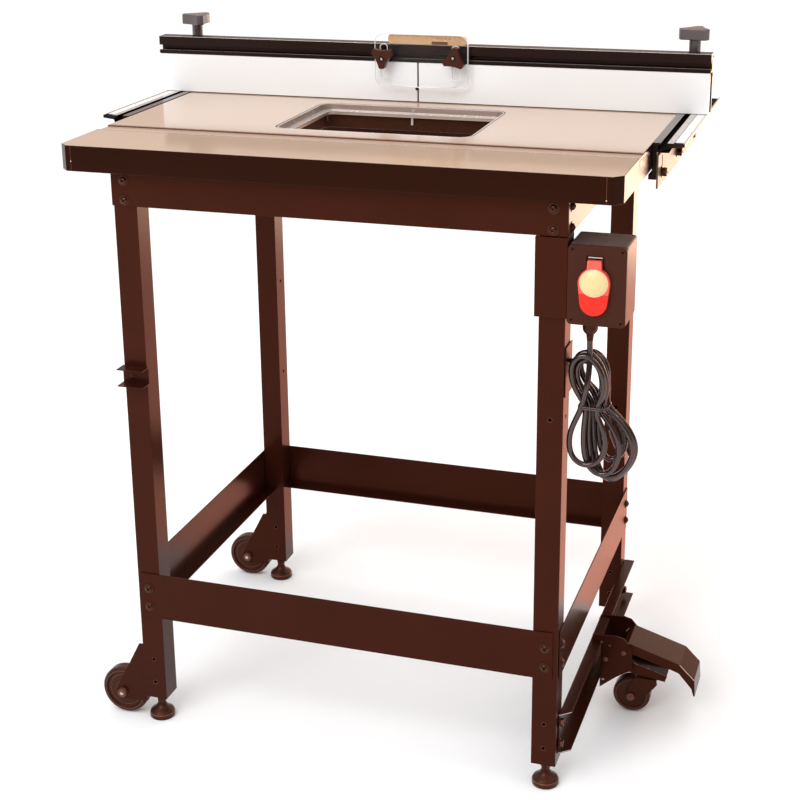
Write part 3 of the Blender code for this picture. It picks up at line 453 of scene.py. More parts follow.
def add_dome_bolt(builder, centre, outward, radius, height):
    """A button-head bolt with a hex socket and a washer, facing outward."""
    turn = Vector(outward).to_track_quat("Z", "Y").to_matrix().to_4x4()
    matrix = Matrix.Translation(centre) @ turn
    before = set(builder.verts)
    rows = []
    for step in range(6):
        angle = math.radians(90 * step / 5)
        rows.append((radius * math.cos(angle) * 0.96 + radius * 0.04, 0.0012 + height * math.sin(angle)))
    profile = [(radius * 1.35, 0.0), (radius * 1.35, 0.0010), (radius, 0.0011)] + rows[:5]
    profile += [(radius * 0.42, 0.0012 + height), (radius * 0.38, 0.0004 + height * 0.5)]
    rings = []
    for ring_radius, z in profile:
        ring = [
            builder.verts.new((
                ring_radius * math.cos(2 * math.pi * k / BOLT_SIDES),
                ring_radius * math.sin(2 * math.pi * k / BOLT_SIDES), z,
            ))
            for k in range(BOLT_SIDES)
        ]
        rings.append(ring)
    for lower, upper in zip(rings, rings[1:]):
        for k in range(BOLT_SIDES):
            after = (k + 1) % BOLT_SIDES
            builder.faces.new((lower[k], lower[after], upper[after], upper[k]))
    builder.faces.new(rings[-1])
    builder.faces.new(list(reversed(rings[0])))
    bmesh.ops.transform(builder, matrix=matrix, verts=[v for v in builder.verts if v not in before])


def piece_on(builder, name, body, *materials, width=0.0):
    bevel_sharp_edges(builder, width, 2)
    piece = object_from(builder, name, *materials)
    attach(piece, body)
    return piece


# ---------------------------------------------------------------- cord
CORD_R = 0.0040
GLAND_END = (0.3620, -0.2650, 0.7057)
PLUG_TOP = (0.38476, -0.2265, 0.58882)


def smooth_path(points, steps):
    """Catmull-Rom points through a list of places."""
    places = [Vector(point) for point in points]
    places = [places[0] * 2 - places[1]] + places + [places[-1] * 2 - places[-2]]
    path = []
    for a, b, c, d in zip(places, places[1:], places[2:], places[3:]):
        for step in range(steps):
            t = step / steps
            path.append((
                b * 2 + (c - a) * t + (a * 2 - b * 5 + c * 4 - d) * t ** 2
                + (b * 3 - a - c * 3 + d) * t ** 3
            ) / 2)
    path.append(places[-2])
    return path


LOOPS = (
    (-0.2745, (
        (0.3540, 0.6000), (0.3460, 0.5820), (0.3395, 0.5630), (0.3390, 0.5440), (0.3440, 0.5290),
        (0.3550, 0.5200), (0.3680, 0.5195), (0.3800, 0.5270), (0.3880, 0.5410), (0.3890, 0.5580),
        (0.3845, 0.5760), (0.3770, 0.5910), (0.3750, 0.6040),
    )),
    (-0.2670, (
        (0.3600, 0.6030), (0.3576, 0.5800), (0.3570, 0.5520), (0.3595, 0.5280), (0.3680, 0.5110),
        (0.3800, 0.5040), (0.3925, 0.5070), (0.4020, 0.5180), (0.4070, 0.5340), (0.4060, 0.5500),
        (0.4000, 0.5680), (0.3890, 0.5850), (0.3790, 0.5980), (0.3765, 0.6080),
    )),
    (-0.2595, (
        (0.3640, 0.6040), (0.3620, 0.5760), (0.3635, 0.5400), (0.3700, 0.5140), (0.3830, 0.4985),
        (0.3990, 0.4985), (0.4140, 0.5110), (0.4230, 0.5290), (0.4240, 0.5460), (0.4170, 0.5660),
        (0.4030, 0.5845), (0.3890, 0.5960), (0.3810, 0.6060),
    )),
    (-0.2520, (
        (0.3660, 0.6040), (0.3665, 0.5740), (0.3695, 0.5400), (0.3750, 0.5130), (0.3850, 0.4945),
        (0.3985, 0.4930), (0.4120, 0.5050), (0.4230, 0.5220), (0.4275, 0.5410), (0.4220, 0.5610),
        (0.4090, 0.5800), (0.3930, 0.5950), (0.3850, 0.6060),
    )),
    (-0.2445, (
        (0.3710, 0.6040), (0.3720, 0.5720), (0.3745, 0.5440), (0.3810, 0.5250), (0.3915, 0.5175),
        (0.4025, 0.5240), (0.4105, 0.5380), (0.4110, 0.5540), (0.4040, 0.5730), (0.3930, 0.5890),
        (0.3810, 0.6020),
    )),
)
LOBES = (
    (-0.2735, (
        (0.3850, 0.6260), (0.3830, 0.6450), (0.3760, 0.6640), (0.3610, 0.6780), (0.3465, 0.6740),
        (0.3390, 0.6610), (0.3400, 0.6430), (0.3470, 0.6240),
    )),
    (-0.2665, (
        (0.3810, 0.6270), (0.3800, 0.6460), (0.3745, 0.6620), (0.3630, 0.6710), (0.3505, 0.6665),
        (0.3445, 0.6540), (0.3480, 0.6360), (0.3580, 0.6190),
    )),
    (-0.2605, (
        (0.3870, 0.6260), (0.3835, 0.6450), (0.3750, 0.6660), (0.3600, 0.6790), (0.3460, 0.6740),
        (0.3410, 0.6600), (0.3440, 0.6410), (0.3545, 0.6220),
    )),
    (-0.2465, (
        (0.3860, 0.6260), (0.3820, 0.6460), (0.3740, 0.6650), (0.3620, 0.6760), (0.3500, 0.6710),
        (0.3460, 0.6560), (0.3500, 0.6370), (0.3620, 0.6210),
    )),
)
TAIL = (
    (0.3835, -0.2430, 0.6260), (0.3835, -0.2410, 0.6470), (0.3770, -0.2390, 0.6640),
    (0.3635, -0.2370, 0.6730), (0.3495, -0.2350, 0.6680), (0.3430, -0.2330, 0.6540),
    (0.3455, -0.2305, 0.6370), (0.3560, -0.2285, 0.6210), (0.3710, -0.2270, 0.6080),
)


def cord_route():
    """Drop from the gland, five lower loops joined by lobes over the hook, and the plug's tail."""
    route = [
        GLAND_END, (0.3620, -0.2652, 0.6940), (0.3632, -0.2680, 0.6700), (0.3632, -0.2750, 0.6460),
        (0.3605, -0.2790, 0.6260),
    ]
    for index, (y, loop) in enumerate(LOOPS):
        route += [(x, y, z) for x, z in loop]
        if index < len(LOBES):
            lobe_y, lobe = LOBES[index]
            route += [(x, lobe_y, z) for x, z in lobe]
    return [place(*point) for point in (*route, *TAIL, PLUG_TOP)]


def relax(path, passes):
    """Smooths a path, leaving its ends where they are."""
    for _ in range(passes):
        inner = [(a + b * 2 + c) / 4 for a, b, c in zip(path, path[1:], path[2:])]
        path = [path[0], *inner, path[-1]]
    return path


def round_curve(name, path, radius, resolution):
    """A round line of jacket material along a path."""
    curve = bpy.data.curves.new(name, "CURVE")
    curve.dimensions = "3D"
    curve.bevel_depth = radius
    curve.bevel_resolution = resolution
    curve.use_fill_caps = True
    spline = curve.splines.new("POLY")
    spline.points.add(len(path) - 1)
    for point, where in zip(spline.points, path):
        point.co = (*where, 1)
    curve.materials.append(JACKET)
    line = bpy.data.objects.new(name, curve)
    bpy.context.scene.collection.objects.link(line)
    return line


def build_cord():
    path = relax(smooth_path(cord_route(), 5), 10)
    cord = round_curve("mains_cord", path, CORD_R, 4)
    cord.data.splines[0].use_smooth = True
    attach(cord, "stand")
    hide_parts("cord_tube", "cord_hank")
    plug = refine("cord_plug", PLASTIC, width=0.0005)
    length = sum((b - a).length for a, b in zip(path, path[1:]))


build_camera()
build_cord()

# ---------------------------------------------------------------- small fittings


def turned_part(builder, centre, profile, segments=32, outward=(0, 0, 1)):
    """Closed solid of revolution from (radius, height) rows, its axis along outward."""
    turn = Vector(outward).to_track_quat("Z", "Y").to_matrix().to_4x4()
    matrix = Matrix.Translation(centre) @ turn
    rings = []
    for radius, height in profile:
        count = segments if radius > 1e-6 else 1
        ring = []
        for k in range(count):
            angle = 2 * math.pi * k / segments
            at = Vector((radius * math.cos(angle), radius * math.sin(angle), height))
            ring.append(builder.verts.new(matrix @ at))
        rings.append(ring)
    for low, high in zip(rings, rings[1:]):
        for k in range(segments):
            after = (k + 1) % segments
            if len(low) == 1:
                builder.faces.new((low[0], high[after], high[k]))
            elif len(high) == 1:
                builder.faces.new((low[k], low[after], high[0]))
            else:
                builder.faces.new((low[k], low[after], high[after], high[k]))
    return rings


def add_hex_bolt(builder, centre, outward, across=0.0100, height=0.0045):
    """A flanged hexagon head standing on a face."""
    flange = across * 0.72
    turned_part(
        builder, centre,
        ((0, 0), (flange, 0), (flange, 0.0008), (across * 0.5, 0.0016), (0, 0.0016)), 24, outward,
    )
    rise = Vector(outward).normalized()
    turned_part(
        builder, Vector(centre) + rise * 0.0014,
        ((0, 0), (across * 0.56, 0), (across * 0.56, height * 0.7), (across * 0.44, height * 0.86),
         (across * 0.26, height * 0.88), (across * 0.20, height * 0.45), (0, height * 0.45)),
        6, outward,
    )


def add_ring(builder, centre, outward, radius, tube, segments=48):
    """A low rounded ring standing on a face."""
    profile = [
        (radius + tube * math.cos(math.radians(a)), tube * math.sin(math.radians(a)))
        for a in range(0, 360, 45)
    ]
    turned_part(builder, centre, profile + profile[:1], segments, outward)
    bmesh.ops.remove_doubles(builder, verts=builder.verts, dist=0.000005)


def rounded_slab(builder, low, high, radius, axis):
    """A thin plate with rounded corners, its thickness along axis."""
    low, high = Vector(low), Vector(high)
    across = [k for k in range(3) if k != axis]
    outline = []
    for sign_a, sign_b, start in ((1, 1, 0), (-1, 1, 90), (-1, -1, 180), (1, -1, 270)):
        for step in range(6):
            angle = math.radians(start + 18 * step)
            point = Vector(low)
            for k, sign, part in ((across[0], sign_a, math.cos(angle)), (across[1], sign_b, math.sin(angle))):
                corner = high[k] - radius if sign > 0 else low[k] + radius
                point[k] = corner + radius * part
            outline.append(point)
    near = [builder.verts.new(point) for point in outline]
    shift = Vector((0, 0, 0))
    shift[axis] = high[axis] - low[axis]
    far = [builder.verts.new(point + shift) for point in outline]
    builder.faces.new(near)
    builder.faces.new(list(reversed(far)))
    for k in range(len(near)):
        after = (k + 1) % len(near)
        builder.faces.new((near[after], near[k], far[k], far[after]))
    bmesh.ops.recalc_face_normals(builder, faces=builder.faces)


def rounded_outline(x, z, half_width, half_height, corner, y):
    """Closed path round an upright rounded rectangle facing the front."""
    points = []
    for sign_x, sign_z, start in ((1, 1, 0), (-1, 1, 90), (-1, -1, 180), (1, -1, 270)):
        for step in range(7):
            angle = math.radians(start + 15 * step)
            points.append((
                x + sign_x * (half_width - corner) + corner * math.cos(angle), y,
                z + sign_z * (half_height - corner) + corner * math.sin(angle),
            ))
    return points


def tube_along(builder, points, radius, closed=True):
    """A round bead along a path."""
    places = [Vector(point) for point in points]
    count = len(places)
    rings = []
    for index, at in enumerate(places):
        before = places[index - 1] if closed or index else at
        after = places[(index + 1) % count] if closed or index < count - 1 else at
        turn = (after - before).to_track_quat("Z", "Y")
        rings.append([
            builder.verts.new(at + turn @ Vector((
                radius * math.cos(2 * math.pi * k / BEAD_SIDES),
                radius * math.sin(2 * math.pi * k / BEAD_SIDES), 0,
            )))
            for k in range(BEAD_SIDES)
        ])
    for index in range(count if closed else count - 1):
        low, high = rings[index], rings[(index + 1) % count]
        shift = min(range(BEAD_SIDES), key=lambda k: (low[0].co - high[k].co).length) if closed else 0
        for k in range(BEAD_SIDES):
            builder.faces.new((
                low[k], low[(k + 1) % BEAD_SIDES],
                high[(k + 1 + shift) % BEAD_SIDES], high[(k + shift) % BEAD_SIDES],
            ))
    if not closed:
        builder.faces.new(rings[0])
        builder.faces.new(list(reversed(rings[-1])))
    bmesh.ops.recalc_face_normals(builder, faces=builder.faces)


# ---------------------------------------------------------------- table


def build_table():
    edge_line = TABLE_TOP - 0.0016

    def choose(face):
        centre, normal = face.calc_center_median(), face.normal
        inside = (
            abs(centre.x - STAND_X) < TABLE_HIGH.x - STAND_X - 0.030
            and abs(centre.y) < TABLE_HIGH.y - 0.030
        )
        if centre.z > edge_line and normal.z > 0.97:
            return 0
        if centre.z > edge_line and normal.z > 0.75 and not inside:
            return 0
        if normal.z < -0.6 and centre.z < TABLE_LOW.z + 0.0022:
            return 2
        return 3 if inside else 1

    refine(
        "table_top", LAMINATE, EDGE_BAND, ANODISED, BOARD_CORE,
        width=0.0012, segments=3, choose=choose,
    )
    # Painted light: the ring's upward faces take the lighter bright metal for the light on its tops, and the
    # other faces keep the aluminium.
    refine("insert_ring", ALUMINIUM, BRIGHT_METAL, width=0.0006, choose=lambda face: face.normal.z > 0.3)
    track_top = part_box("mitre_track")[1].z

    # Painted shade: the track's upright walls take the darker wheel_rib brown for the shade inside the
    # groove. The lips take bright metal and the floor takes laminate.
    def choose_track(face):
        if abs(face.normal.y) > 0.6:
            return 1
        return 0 if face.calc_center_median().z > track_top - 0.0008 else 2

    refine("mitre_track", BRIGHT_METAL, RING_BROWN, LAMINATE, width=0.0003, choose=choose_track)

    low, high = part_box("insert_ring")
    builder = bmesh.new()
    inset, ledge = 0.0090, high.z - 0.0095
    spots = [(x, y) for x in (low.x + inset, high.x - inset) for y in (low.y + inset, high.y - inset)]
    spots += [((low.x + high.x) / 2, high.y - inset), ((low.x + high.x) / 2, low.y + inset)]
    for x, y in spots:
        rows = [(0, -0.0180), (0.0016, -0.0180)]
        for thread in range(16):
            z = -0.0175 + 0.0011 * thread
            rows += [(0.0022, z), (0.0018, z + 0.00055)]
        rows += [(0.0036, 0.0001), (0.0036, 0.0006), (0.0016, 0.0008), (0.0014, 0.0002), (0, 0.0002)]
        turned_part(builder, (x, y, ledge), rows, 16)
    for x, y, outward in (
        ((low.x + high.x) / 2, high.y - 0.0031, (0, -1, 0)), (low.x + 0.0031, -0.030, (1, 0, 0)),
        (low.x + 0.0031, 0.050, (1, 0, 0)),
    ):
        turned_part(
            builder, (x, y, high.z - 0.0048),
            ((0, 0), (0.0024, 0), (0.0024, 0.0006), (0.0012, 0.0007), (0.0011, 0.0002), (0, 0.0002)),
            16, outward,
        )
    piece_on(builder, "levelling_screws", "stand", BRIGHT_METAL)

    builder = bmesh.new()
    for x in (TABLE_LOW.x + 0.0205, TABLE_HIGH.x - 0.0205):
        add_box(
            builder, (x - 0.0003, TABLE_LOW.y - 0.00025, TABLE_LOW.z + 0.0010),
            (x + 0.0003, TABLE_LOW.y + 0.0004, TABLE_TOP - 0.0014),
        )
    piece_on(builder, "edge_band_seams", "stand", RING_BROWN, width=0.0001)
    builder = bmesh.new()
    for x, z in ((TABLE_LOW.x + 0.0205, TABLE_LOW.z + 0.0150), (TABLE_HIGH.x - 0.0205, TABLE_LOW.z + 0.0060)):
        turned_part(
            builder, (x, TABLE_LOW.y + 0.0002, z),
            ((0, 0), (0.0009, 0), (0.0007, 0.0005), (0, 0.0006)), 7, (0, -1, 0),
        )
    piece_on(builder, "edge_band_chips", "stand", WHITE_BOARD)


# ---------------------------------------------------------------- stand


RAIL_BOLT_HEIGHTS = (("upper", (0.8815, 0.8525)), ("lower", (0.2340, 0.2035)))
RAIL_BOLT = (0.0058, 0.0034)
HOLDER_BOLT = (0.0032, 0.0016)
CHANNEL_BOLT = (0.0110, 0.0052)
CHANNEL_BOLT_Z = (0.0700, 0.1060)
PLATE_BOLT = (0.0118, 0.0075)
PLATE_BOLT_Y = (-0.0470, 0.0975, 0.2390)
PLATE_BOLT_Z = 0.8850
LEG_HOLE_Z = (0.0690, 0.1090)
HOOK_HOLE_Z = 0.5840
HOLE_RIM = (0.0032, 0.0004, 20)
RIVETS = (
    (0.3580, 0.0920, 0.0042), (0.3860, 0.1070, 0.0042), (0.3640, 0.1170, 0.0020), (0.3510, 0.1215, 0.0020),
)


def build_bolts():
    """Bolt pairs where the rails cross the legs, and the fasteners of the rail plates and channel."""
    builder = bmesh.new()
    leg_x = [middle(f"leg_front_{side}").x for side in SIDES]
    leg_y = [middle(f"leg_{end}_right").y for end in ENDS]
    for level, heights in RAIL_BOLT_HEIGHTS:
        front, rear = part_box(f"{level}_rail_front")[0].y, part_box(f"{level}_rail_rear")[1].y
        left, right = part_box(f"{level}_rail_left")[0].x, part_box(f"{level}_rail_right")[1].x
        for z in heights:
            for x in leg_x:
                add_dome_bolt(builder, (x, front, z), (0, -1, 0), *RAIL_BOLT)
                add_dome_bolt(builder, (x, rear, z), (0, 1, 0), *RAIL_BOLT)
            for y in leg_y:
                add_dome_bolt(builder, (left, y, z), (-1, 0, 0), *RAIL_BOLT)
                add_dome_bolt(builder, (right, y, z), (1, 0, 0), *RAIL_BOLT)
    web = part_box("cross_channel")[0].x + 0.0018
    for y in leg_y:
        for z in CHANNEL_BOLT_Z:
            add_hex_bolt(builder, (web, y, z), (1, 0, 0), *CHANNEL_BOLT)
    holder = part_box("tool_holder")
    add_dome_bolt(builder, (holder[0].x + 0.0160, holder[1].y - 0.0015, 0.5830), (0, -1, 0), *HOLDER_BOLT)
    piece_on(builder, "frame_bolts", "stand", DARK_BOLT)

    # Painted highlight: lighter brown rings round the leg holes stand for the lit inner walls of the holes.
    builder = bmesh.new()
    for end in ENDS:
        for side in SIDES:
            low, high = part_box(f"leg_{end}_{side}")
            for z in LEG_HOLE_Z:
                add_ring(builder, ((low.x + high.x) / 2, low.y, z), (0, -1, 0), *HOLE_RIM)
    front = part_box("leg_front_right")
    add_ring(builder, ((front[0].x + front[1].x) / 2, front[0].y, HOOK_HOLE_Z), (0, -1, 0), *HOLE_RIM)
    piece_on(builder, "hole_highlight_rims", "stand", RING_BROWN)

    builder = bmesh.new()
    for side, outer in (("left", 0), ("right", 1)):
        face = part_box(f"rail_plate_{side}")[outer].x
        for y in PLATE_BOLT_Y:
            add_hex_bolt(builder, (face, y, PLATE_BOLT_Z), (2 * outer - 1, 0, 0), *PLATE_BOLT)
    piece_on(builder, "rail_plate_bolts", "stand", DARK_BOLT)

    builder = bmesh.new()
    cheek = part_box("pedal_bracket")[0].y
    for x, z, radius in RIVETS:
        for y, outward in ((cheek, -1), (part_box("pedal_bracket")[1].y, 1)):
            turned_part(
                builder, (STAND_X + x, y, z),
                ((0, 0), (radius, 0), (radius * 0.96, 0.0008), (radius * 0.70, 0.0018),
                 (radius * 0.35, 0.0023), (0, 0.0024)),
                20, (0, outward, 0),
            )
    piece_on(builder, "linkage_rivets", "stand", RING_BROWN)


def build_feet():
    """Levelling feet: threaded stem, lock nut, slim neck and a bevelled pad with a groove."""
    for end in ENDS:
        for side in SIDES:
            node = f"foot_{end}_{side}"
            low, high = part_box(node)
            builder = bmesh.new()
            rows = [
                (0, 0), (0.0186, 0), (0.0196, 0.0006), (0.0200, 0.0016), (0.0200, 0.0072), (0.0194, 0.0080),
                (0.0189, 0.0084), (0.0192, 0.0090), (0.0186, 0.0106), (0.0160, 0.0126), (0.0112, 0.0158),
                (0.0082, 0.0194), (0.0064, 0.0236), (0.0060, 0.0262), (0.0060, 0.0344), (0.0036, 0.0350),
            ]
            steps = int((high.z - low.z - 0.0370) / 0.0014)
            for thread in range(steps):
                z = 0.0356 + 0.0014 * thread
                rows += [(0.0044, z), (0.0037, z + 0.0007)]
            rows += [(0.0036, high.z - low.z - 0.0004), (0, high.z - low.z)]
            centre = ((low.x + high.x) / 2, (low.y + high.y) / 2, low.z)
            turned_part(builder, centre, rows, 40)
            turned_part(
                builder, (centre[0], centre[1], low.z + 0.0270),
                ((0.0050, 0), (0.0070, 0.0002), (0.0078, 0.0010),
                 (0.0078, 0.0060), (0.0070, 0.0068), (0.0050, 0.0070)),
                6,
            )
            for face in builder.faces:
                height = face.calc_center_median().z - low.z
                face.material_index = 1 if 0.0076 < height < 0.0088 else 0
            piece = object_from(builder, f"{node}_turned", PLASTIC, RING_BROWN)
            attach(piece, BODY_OF[node])
            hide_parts(node)


def build_wheel_details():
    for node, rings in (
        ("wheel_front", (0.0335, 0.0265, 0.0150)), ("wheel_rear", (0.0335, 0.0265, 0.0150)),
        ("caster_wheel", (0.0245, 0.0190, 0.0120)),
    ):
        low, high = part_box(node)
        centre = (low + high) / 2
        builder = bmesh.new()
        for y, outward in ((low.y + 0.0036, -1), (high.y - 0.0036, 1)):
            for radius in rings:
                depth = 0.0034 * outward if radius == rings[0] else 0
                add_ring(builder, (centre.x, y + depth, centre.z), (0, outward, 0), radius, 0.0007)
        piece_on(builder, f"{node}_rings", BODY_OF[node], RING_BROWN)
    for node, finish in (("wheel_axle_front", ZINC), ("wheel_axle_rear", ZINC), ("caster_axle", RING_BROWN)):
        low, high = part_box(node)
        centre = (low + high) / 2
        builder = bmesh.new()
        for y, outward in ((low.y, -1), (high.y, 1)):
            turned_part(
                builder, (centre.x, y, centre.z),
                ((0, 0), (0.0030, 0), (0.0030, 0.0006), (0.0018, 0.0013), (0, 0.0014)), 16, (0, outward, 0),
            )
        piece_on(builder, f"{node}_ends", BODY_OF[node], finish)


# ---------------------------------------------------------------- side rails and fence


def build_rail_pieces():
    for side, outer in (("left", 0), ("right", 1)):
        node = f"side_rail_{side}"
        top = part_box(node)[1].z

        # Painted light and shade on the black anodised rail: its top faces take bright metal (outer) and
        # slate plastic (inner) for the light on them, and the lower upward faces in the slot take shadow_gap
        # as painted shade.
        def choose(face):
            centre = face.calc_center_median()
            if face.normal.z > 0.6 and centre.z > top - 0.0008:
                return 3 if abs(centre.x - STAND_X) < 0.4175 else 1
            return 2 if face.normal.z > 0.6 else 0

        refine(node, ANODISED, BRIGHT_METAL, SHADOW, SLATE_PLASTIC, width=0.0004, choose=choose)
        refine(f"rail_plate_{side}", PLATE_METAL, width=0.0005)

        sign = 2 * outer - 1
        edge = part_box(node)[outer].x
        near, far = sorted((edge - sign * 0.0152, edge - sign * 0.0028))
        builder = bmesh.new()
        rounded_slab(builder, (near, -0.0680, top - 0.0016), (far, 0.1660, top - 0.0005), 0.0008, 2)
        piece_on(builder, f"scale_strip_{side}", "stand", SCALE, width=0.0002)


def build_fence():
    beam_low, beam_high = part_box("fence_beam")

    # Painted light on the black anodised beam: the sloping top front faces take bright metal as a painted
    # highlight, and the low upward faces at the front take the lighter slate plastic for the light on them.
    def choose_beam(face):
        centre, normal = face.calc_center_median(), face.normal
        if normal.y < -0.2 and normal.z > 0.2 and centre.z > beam_high.z - 0.002:
            return 1
        return 2 if normal.z > 0.2 and centre.y < beam_low.y + 0.004 and centre.z < beam_high.z - 0.002 else 0

    refine("fence_beam", ANODISED, BRIGHT_METAL, SLATE_PLASTIC, width=0.0005, choose=choose_beam)
    for side in SIDES:
        refine(
            f"fence_face_{side}", WHITE_BOARD, LAMINATE, width=0.0006,
            choose=lambda face: abs(face.normal.x) > 0.6,
        )
        refine(
            f"clamp_knob_{side}", SLATE_PLASTIC, ZINC, width=0.0038, segments=4, angle=40,
            choose=lambda face: face.calc_center_median().z <= TABLE_TOP + 0.004,
        )
        node = f"guard_knob_{side}"
        refine(node, KNOB_PLASTIC, width=0.0016, segments=3, angle=40)
        x, z = middle(node).x, middle(node).z
        builder = bmesh.new()
        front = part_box(node)[0].y
        # Painted shade: this flush dark disc in shadow_gap stands for the shade in the knob's screw recess.
        turned_part(
            builder, (x, front, z),
            ((0, -0.001), (0.0044, -0.001), (0.0044, 0.0002), (0, 0.0003)), 24, (0, -1, 0),
        )
        for face in builder.faces:
            face.material_index = 1
        turned_part(
            builder, (x, front, z),
            ((0, -0.001), (0.0021, -0.001), (0.0021, 0.0008), (0.0016, 0.0012), (0, 0.0013)), 18, (0, -1, 0),
        )
        piece_on(builder, f"{node}_screw", BODY_OF[node], ZINC, SHADOW)

    builder = bmesh.new()
    seam = (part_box("fence_face_left")[1].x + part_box("fence_face_right")[0].x) / 2
    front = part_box("fence_face_left")[0].y
    turned_part(
        builder, (seam - 0.0020, front + 0.0004, 0.9540),
        ((0, 0), (0.0027, 0), (0.0026, 0.0008), (0.0012, 0.0012), (0, 0.0012)), 20, (0, -1, 0),
    )
    piece_on(builder, "face_joint_pin", BODY_OF["fence_face_left"], DARK_BOLT)

    builder = bmesh.new()
    for x, outward in ((beam_high.x, 1), (beam_low.x, -1)):
        for z in (1.0185, 0.9905):
            turned_part(
                builder, (x, beam_high.y - 0.0035, z),
                ((0, 0), (0.0022, 0), (0.0021, 0.0007), (0.0010, 0.0009), (0.0009, 0.0003), (0, 0.0003)),
                16, (outward, 0, 0),
            )
    piece_on(builder, "beam_end_screws", BODY_OF["fence_beam"], ZINC)

    builder = bmesh.new()
    for side in SIDES:
        low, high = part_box(f"fence_bracket_{side}")
        for x in (low.x + 0.0120, high.x - 0.0120):
            add_hex_bolt(builder, (x, low.y + 0.0050, high.z - 0.0120), (0, 1, 0), 0.0090, 0.0045)
    piece_on(builder, "bracket_bolts", BODY_OF["fence_beam"], DARK_BOLT)


def build_guard():
    low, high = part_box("guard")
    sheet_y = high.y - 0.0040

    def choose(face):
        before_sheet = face.calc_center_median().y < sheet_y - 0.0005
        return 0 if abs(face.normal.y) > 0.7 or (before_sheet and abs(face.normal.z) > 0.7) else 1

    refine("guard", CLEAR, CLEAR_EDGE, width=0.0004, segments=1, choose=choose)
    body = BODY_OF["guard"]
    centre_x = (low.x + high.x) / 2
    marks_y, label_y = high.y + 0.0001, high.y + 0.0003
    builder = bmesh.new()
    rounded_slab(
        builder, (centre_x - 0.0560, label_y, high.z - 0.0158),
        (centre_x + 0.0740, label_y + 0.0004, high.z - 0.0010), 0.0060, 1,
    )
    piece_on(builder, "guard_label", body, LABEL)
    builder = bmesh.new()
    rounded_slab(
        builder, (centre_x + 0.0160, marks_y, high.z - 0.0156),
        (centre_x + 0.0430, label_y, high.z - 0.0108), 0.0023, 1,
    )
    for step in range(4):
        x = centre_x + 0.0240 + 0.0065 * step
        rounded_slab(
            builder, (x, marks_y, high.z - 0.0066), (x + 0.0040, label_y, high.z - 0.0058), 0.0003, 1,
        )
    piece_on(builder, "guard_label_marks", body, RING_BROWN)

    builder = bmesh.new()
    middle_z = (low.z + high.z) / 2
    outlines = [(centre_x, middle_z, 0.0765, 0.0415, 0.0140)]
    outlines += [(place(x, 0, 0).x, 0.9985, 0.0060, 0.0270, 0.0050) for x in (-0.0600, 0.0590)]
    for x, z, half_width, half_height, corner in outlines:
        tube_along(builder, rounded_outline(x, z, half_width, half_height, corner, sheet_y - 0.0002), 0.0007)
    visor_z = low.z + 0.0045
    arc = [
        (
            place(0.0070, 0, 0).x + 0.0550 * math.cos(math.radians(angle)),
            sheet_y + 0.0020 + 0.0240 * math.sin(math.radians(angle)), visor_z,
        )
        for angle in range(184, 357, 6)
    ]
    tube_along(builder, arc, 0.0008, closed=False)
    piece_on(builder, "guard_cut_edges", body, CLEAR_EDGE)


# ---------------------------------------------------------------- switch and cord fittings


def build_switch():
    # Painted light: the box's upward faces take the lighter slate plastic for the light on its top.
    refine(
        "switch_box", PLASTIC, SLATE_PLASTIC, width=0.0007, segments=2,
        choose=lambda face: face.normal.z > 0.5,
    )
    refine("switch_cover", PLASTIC, width=0.0014, segments=3)
    low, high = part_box("switch_cover")
    builder = bmesh.new()
    for x in (low.x + 0.0062, high.x - 0.0062):
        for z in (low.z + 0.0062, high.z - 0.0062):
            turned_part(
                builder, (x, low.y, z),
                ((0, -0.001), (0.0037, -0.001), (0.0037, 0.0003), (0.0031, 0.0008), (0.0015, 0.0009),
                 (0.0012, 0), (0, 0)),
                18, (0, -1, 0),
            )
    piece_on(builder, "cover_screws", BODY_OF["switch_cover"], DARK_BOLT)

    flap_low, flap_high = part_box("switch_flap")
    flap_x = (flap_low.x + flap_high.x) / 2
    disc = Vector((flap_x, 0, flap_high.z - 0.0300))
    front = flap_low.y + 0.0062
    builder = node_builder("switch_flap")
    bmesh.ops.bisect_plane(
        builder, geom=[*builder.verts, *builder.edges, *builder.faces],
        plane_co=(0, 0, disc.z - 0.0150), plane_no=(0, 0, 1),
    )
    bevel_sharp_edges(builder, 0.0007, 3, 40)
    # Faces in front take cream, faces above the cut line take the paler red, and faces below it take the red.
    for face in builder.faces:
        centre = face.calc_center_median()
        if centre.y < front - 0.0001:
            face.material_index = 2
        else:
            face.material_index = 1 if centre.z > disc.z - 0.0150 else 0
    flap = object_from(builder, "switch_flap_surface", RED, PALE_RED, CREAM)
    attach(flap, BODY_OF["switch_flap"])
    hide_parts("switch_flap")
    builder = bmesh.new()
    add_ring(builder, (flap_x, front, disc.z), (0, -1, 0), 0.0184, 0.0005)
    piece_on(builder, "flap_disc_rim", BODY_OF["switch_flap"], WHITE_RIM)
    # Painted highlight: a thin bright metal bar above the flap stands for the light catching the lip of the
    # cover's recess.
    builder = bmesh.new()
    rounded_slab(
        builder, (flap_x - 0.0095, low.y - 0.0004, flap_high.z + 0.0022),
        (flap_x + 0.0095, low.y + 0.0004, flap_high.z + 0.0036), 0.0006, 1,
    )
    piece_on(builder, "cover_recess_highlight", BODY_OF["switch_cover"], BRIGHT_METAL)


TIE_X, TIE_Y = (0.3500, 0.3900), (-0.2795, -0.2405)
TIE_CORNER = 0.008
TIE_Z, TIE_RISE = 0.6005, 0.0052


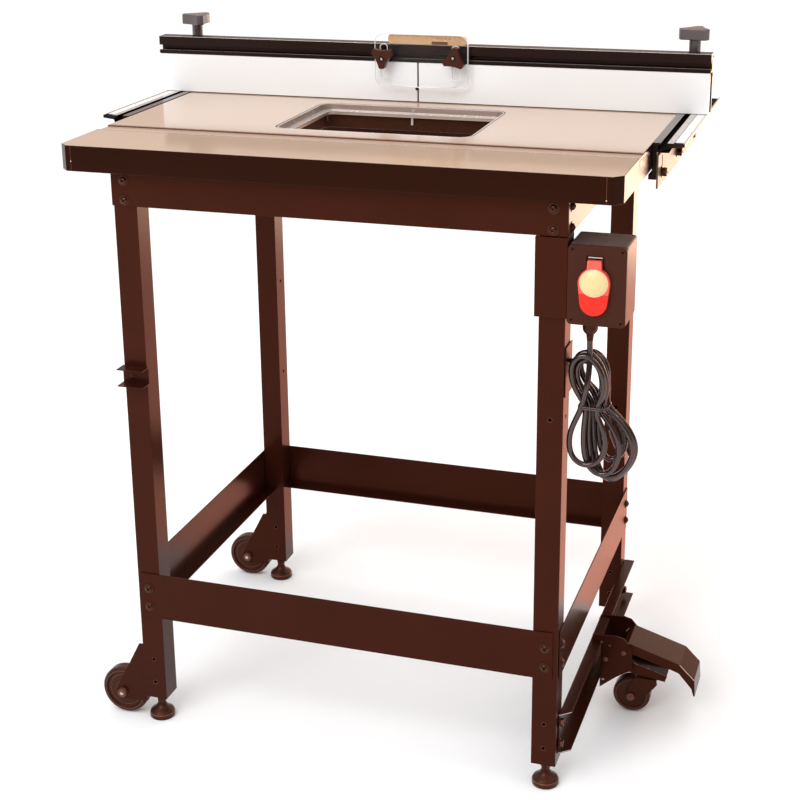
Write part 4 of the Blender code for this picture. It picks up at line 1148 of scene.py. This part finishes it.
def build_cord_fittings():
    """Tapered strain relief under the gland and the tie round the hank."""
    exit_at = place(*GLAND_END)
    rows = [(0.0041, -0.0090), (0.0044, -0.0088)]
    for rib in range(3):
        z = -0.0082 + 0.0030 * rib
        radius = 0.0045 + 0.00035 * rib
        neck = radius - 0.0004
        rows += [(radius, z), (radius, z + 0.0018), (neck, z + 0.0021), (neck, z + 0.0028)]
    rows += [(0.0058, 0.0006), (0.0041, 0.0006)]
    builder = bmesh.new()
    turned_part(builder, exit_at, rows, 28)
    piece_on(builder, "strain_relief", "stand", PLASTIC)

    path = []
    left, right = TIE_X[0] + TIE_CORNER, TIE_X[1] - TIE_CORNER
    front, rear = TIE_Y[0] + TIE_CORNER, TIE_Y[1] - TIE_CORNER
    for wind in range(2):
        for corner_x, corner_y, start in (
            (right, rear, 0), (left, rear, 90), (left, front, 180), (right, front, 270),
        ):
            for step in range(5):
                angle = math.radians(start + 22.5 * step)
                share = (wind * 4 + start / 90 + step / 5) / 8
                path.append(place(
                    corner_x + TIE_CORNER * math.cos(angle), corner_y + TIE_CORNER * math.sin(angle),
                    TIE_Z + TIE_RISE * share,
                ))
    tie = round_curve("cord_tie", path, 0.0011, 3)
    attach(tie, "stand")


build_table()
build_bolts()
build_feet()
build_wheel_details()
build_rail_pieces()
build_fence()
build_guard()
build_switch()
build_cord_fittings()

PAIRED_NODES = (
    "side_rail", "rail_plate", "fence_face", "clamp_knob", "guard_knob", "foot_front", "foot_rear",
)
EDGE_HIGHLIGHT_NODES = ("pedal", "cross_channel", "caster_arm")
MADE_ABOVE = {
    "table_top", "insert_ring", "mitre_track", "fence_beam", "guard", "switch_box", "switch_cover",
    "switch_flap", "cord_tube", "cord_hank", "cord_plug", *EDGE_HIGHLIGHT_NODES,
    *(f"{node}_{side}" for node in PAIRED_NODES for side in SIDES),
}
EDGE_AREA = 0.000060
# Painted highlight on the small upward bevel faces of these parts.
for highlit_node in EDGE_HIGHLIGHT_NODES:
    refine(
        highlit_node, POWDER, EDGE_HIGHLIGHT, width=0.0007, segments=1,
        choose=lambda face: face.calc_area() < EDGE_AREA and face.normal.z > 0.25,
    )
FINISHES = {
    "aluminium": ALUMINIUM, "powder_coat": POWDER, "black_aluminium": ANODISED, "white_board": WHITE_BOARD,
    "black_plastic": PLASTIC, "red_plastic": RED, "green_plastic": GREEN, "rubber": WHEEL_BROWN,
    "steel": RING_BROWN, "laminate": LAMINATE,
}
OWN_FINISHES = {"caster_fork": WHEEL_BROWN}
for entry in frame["record"]["subparts"]:
    if entry["node"] not in MADE_ABOVE:
        finish = FINISHES.get(entry["material_slot"], PLASTIC)
        refine(entry["node"], OWN_FINISHES.get(entry["node"], finish), width=0.0005)

build_studio()
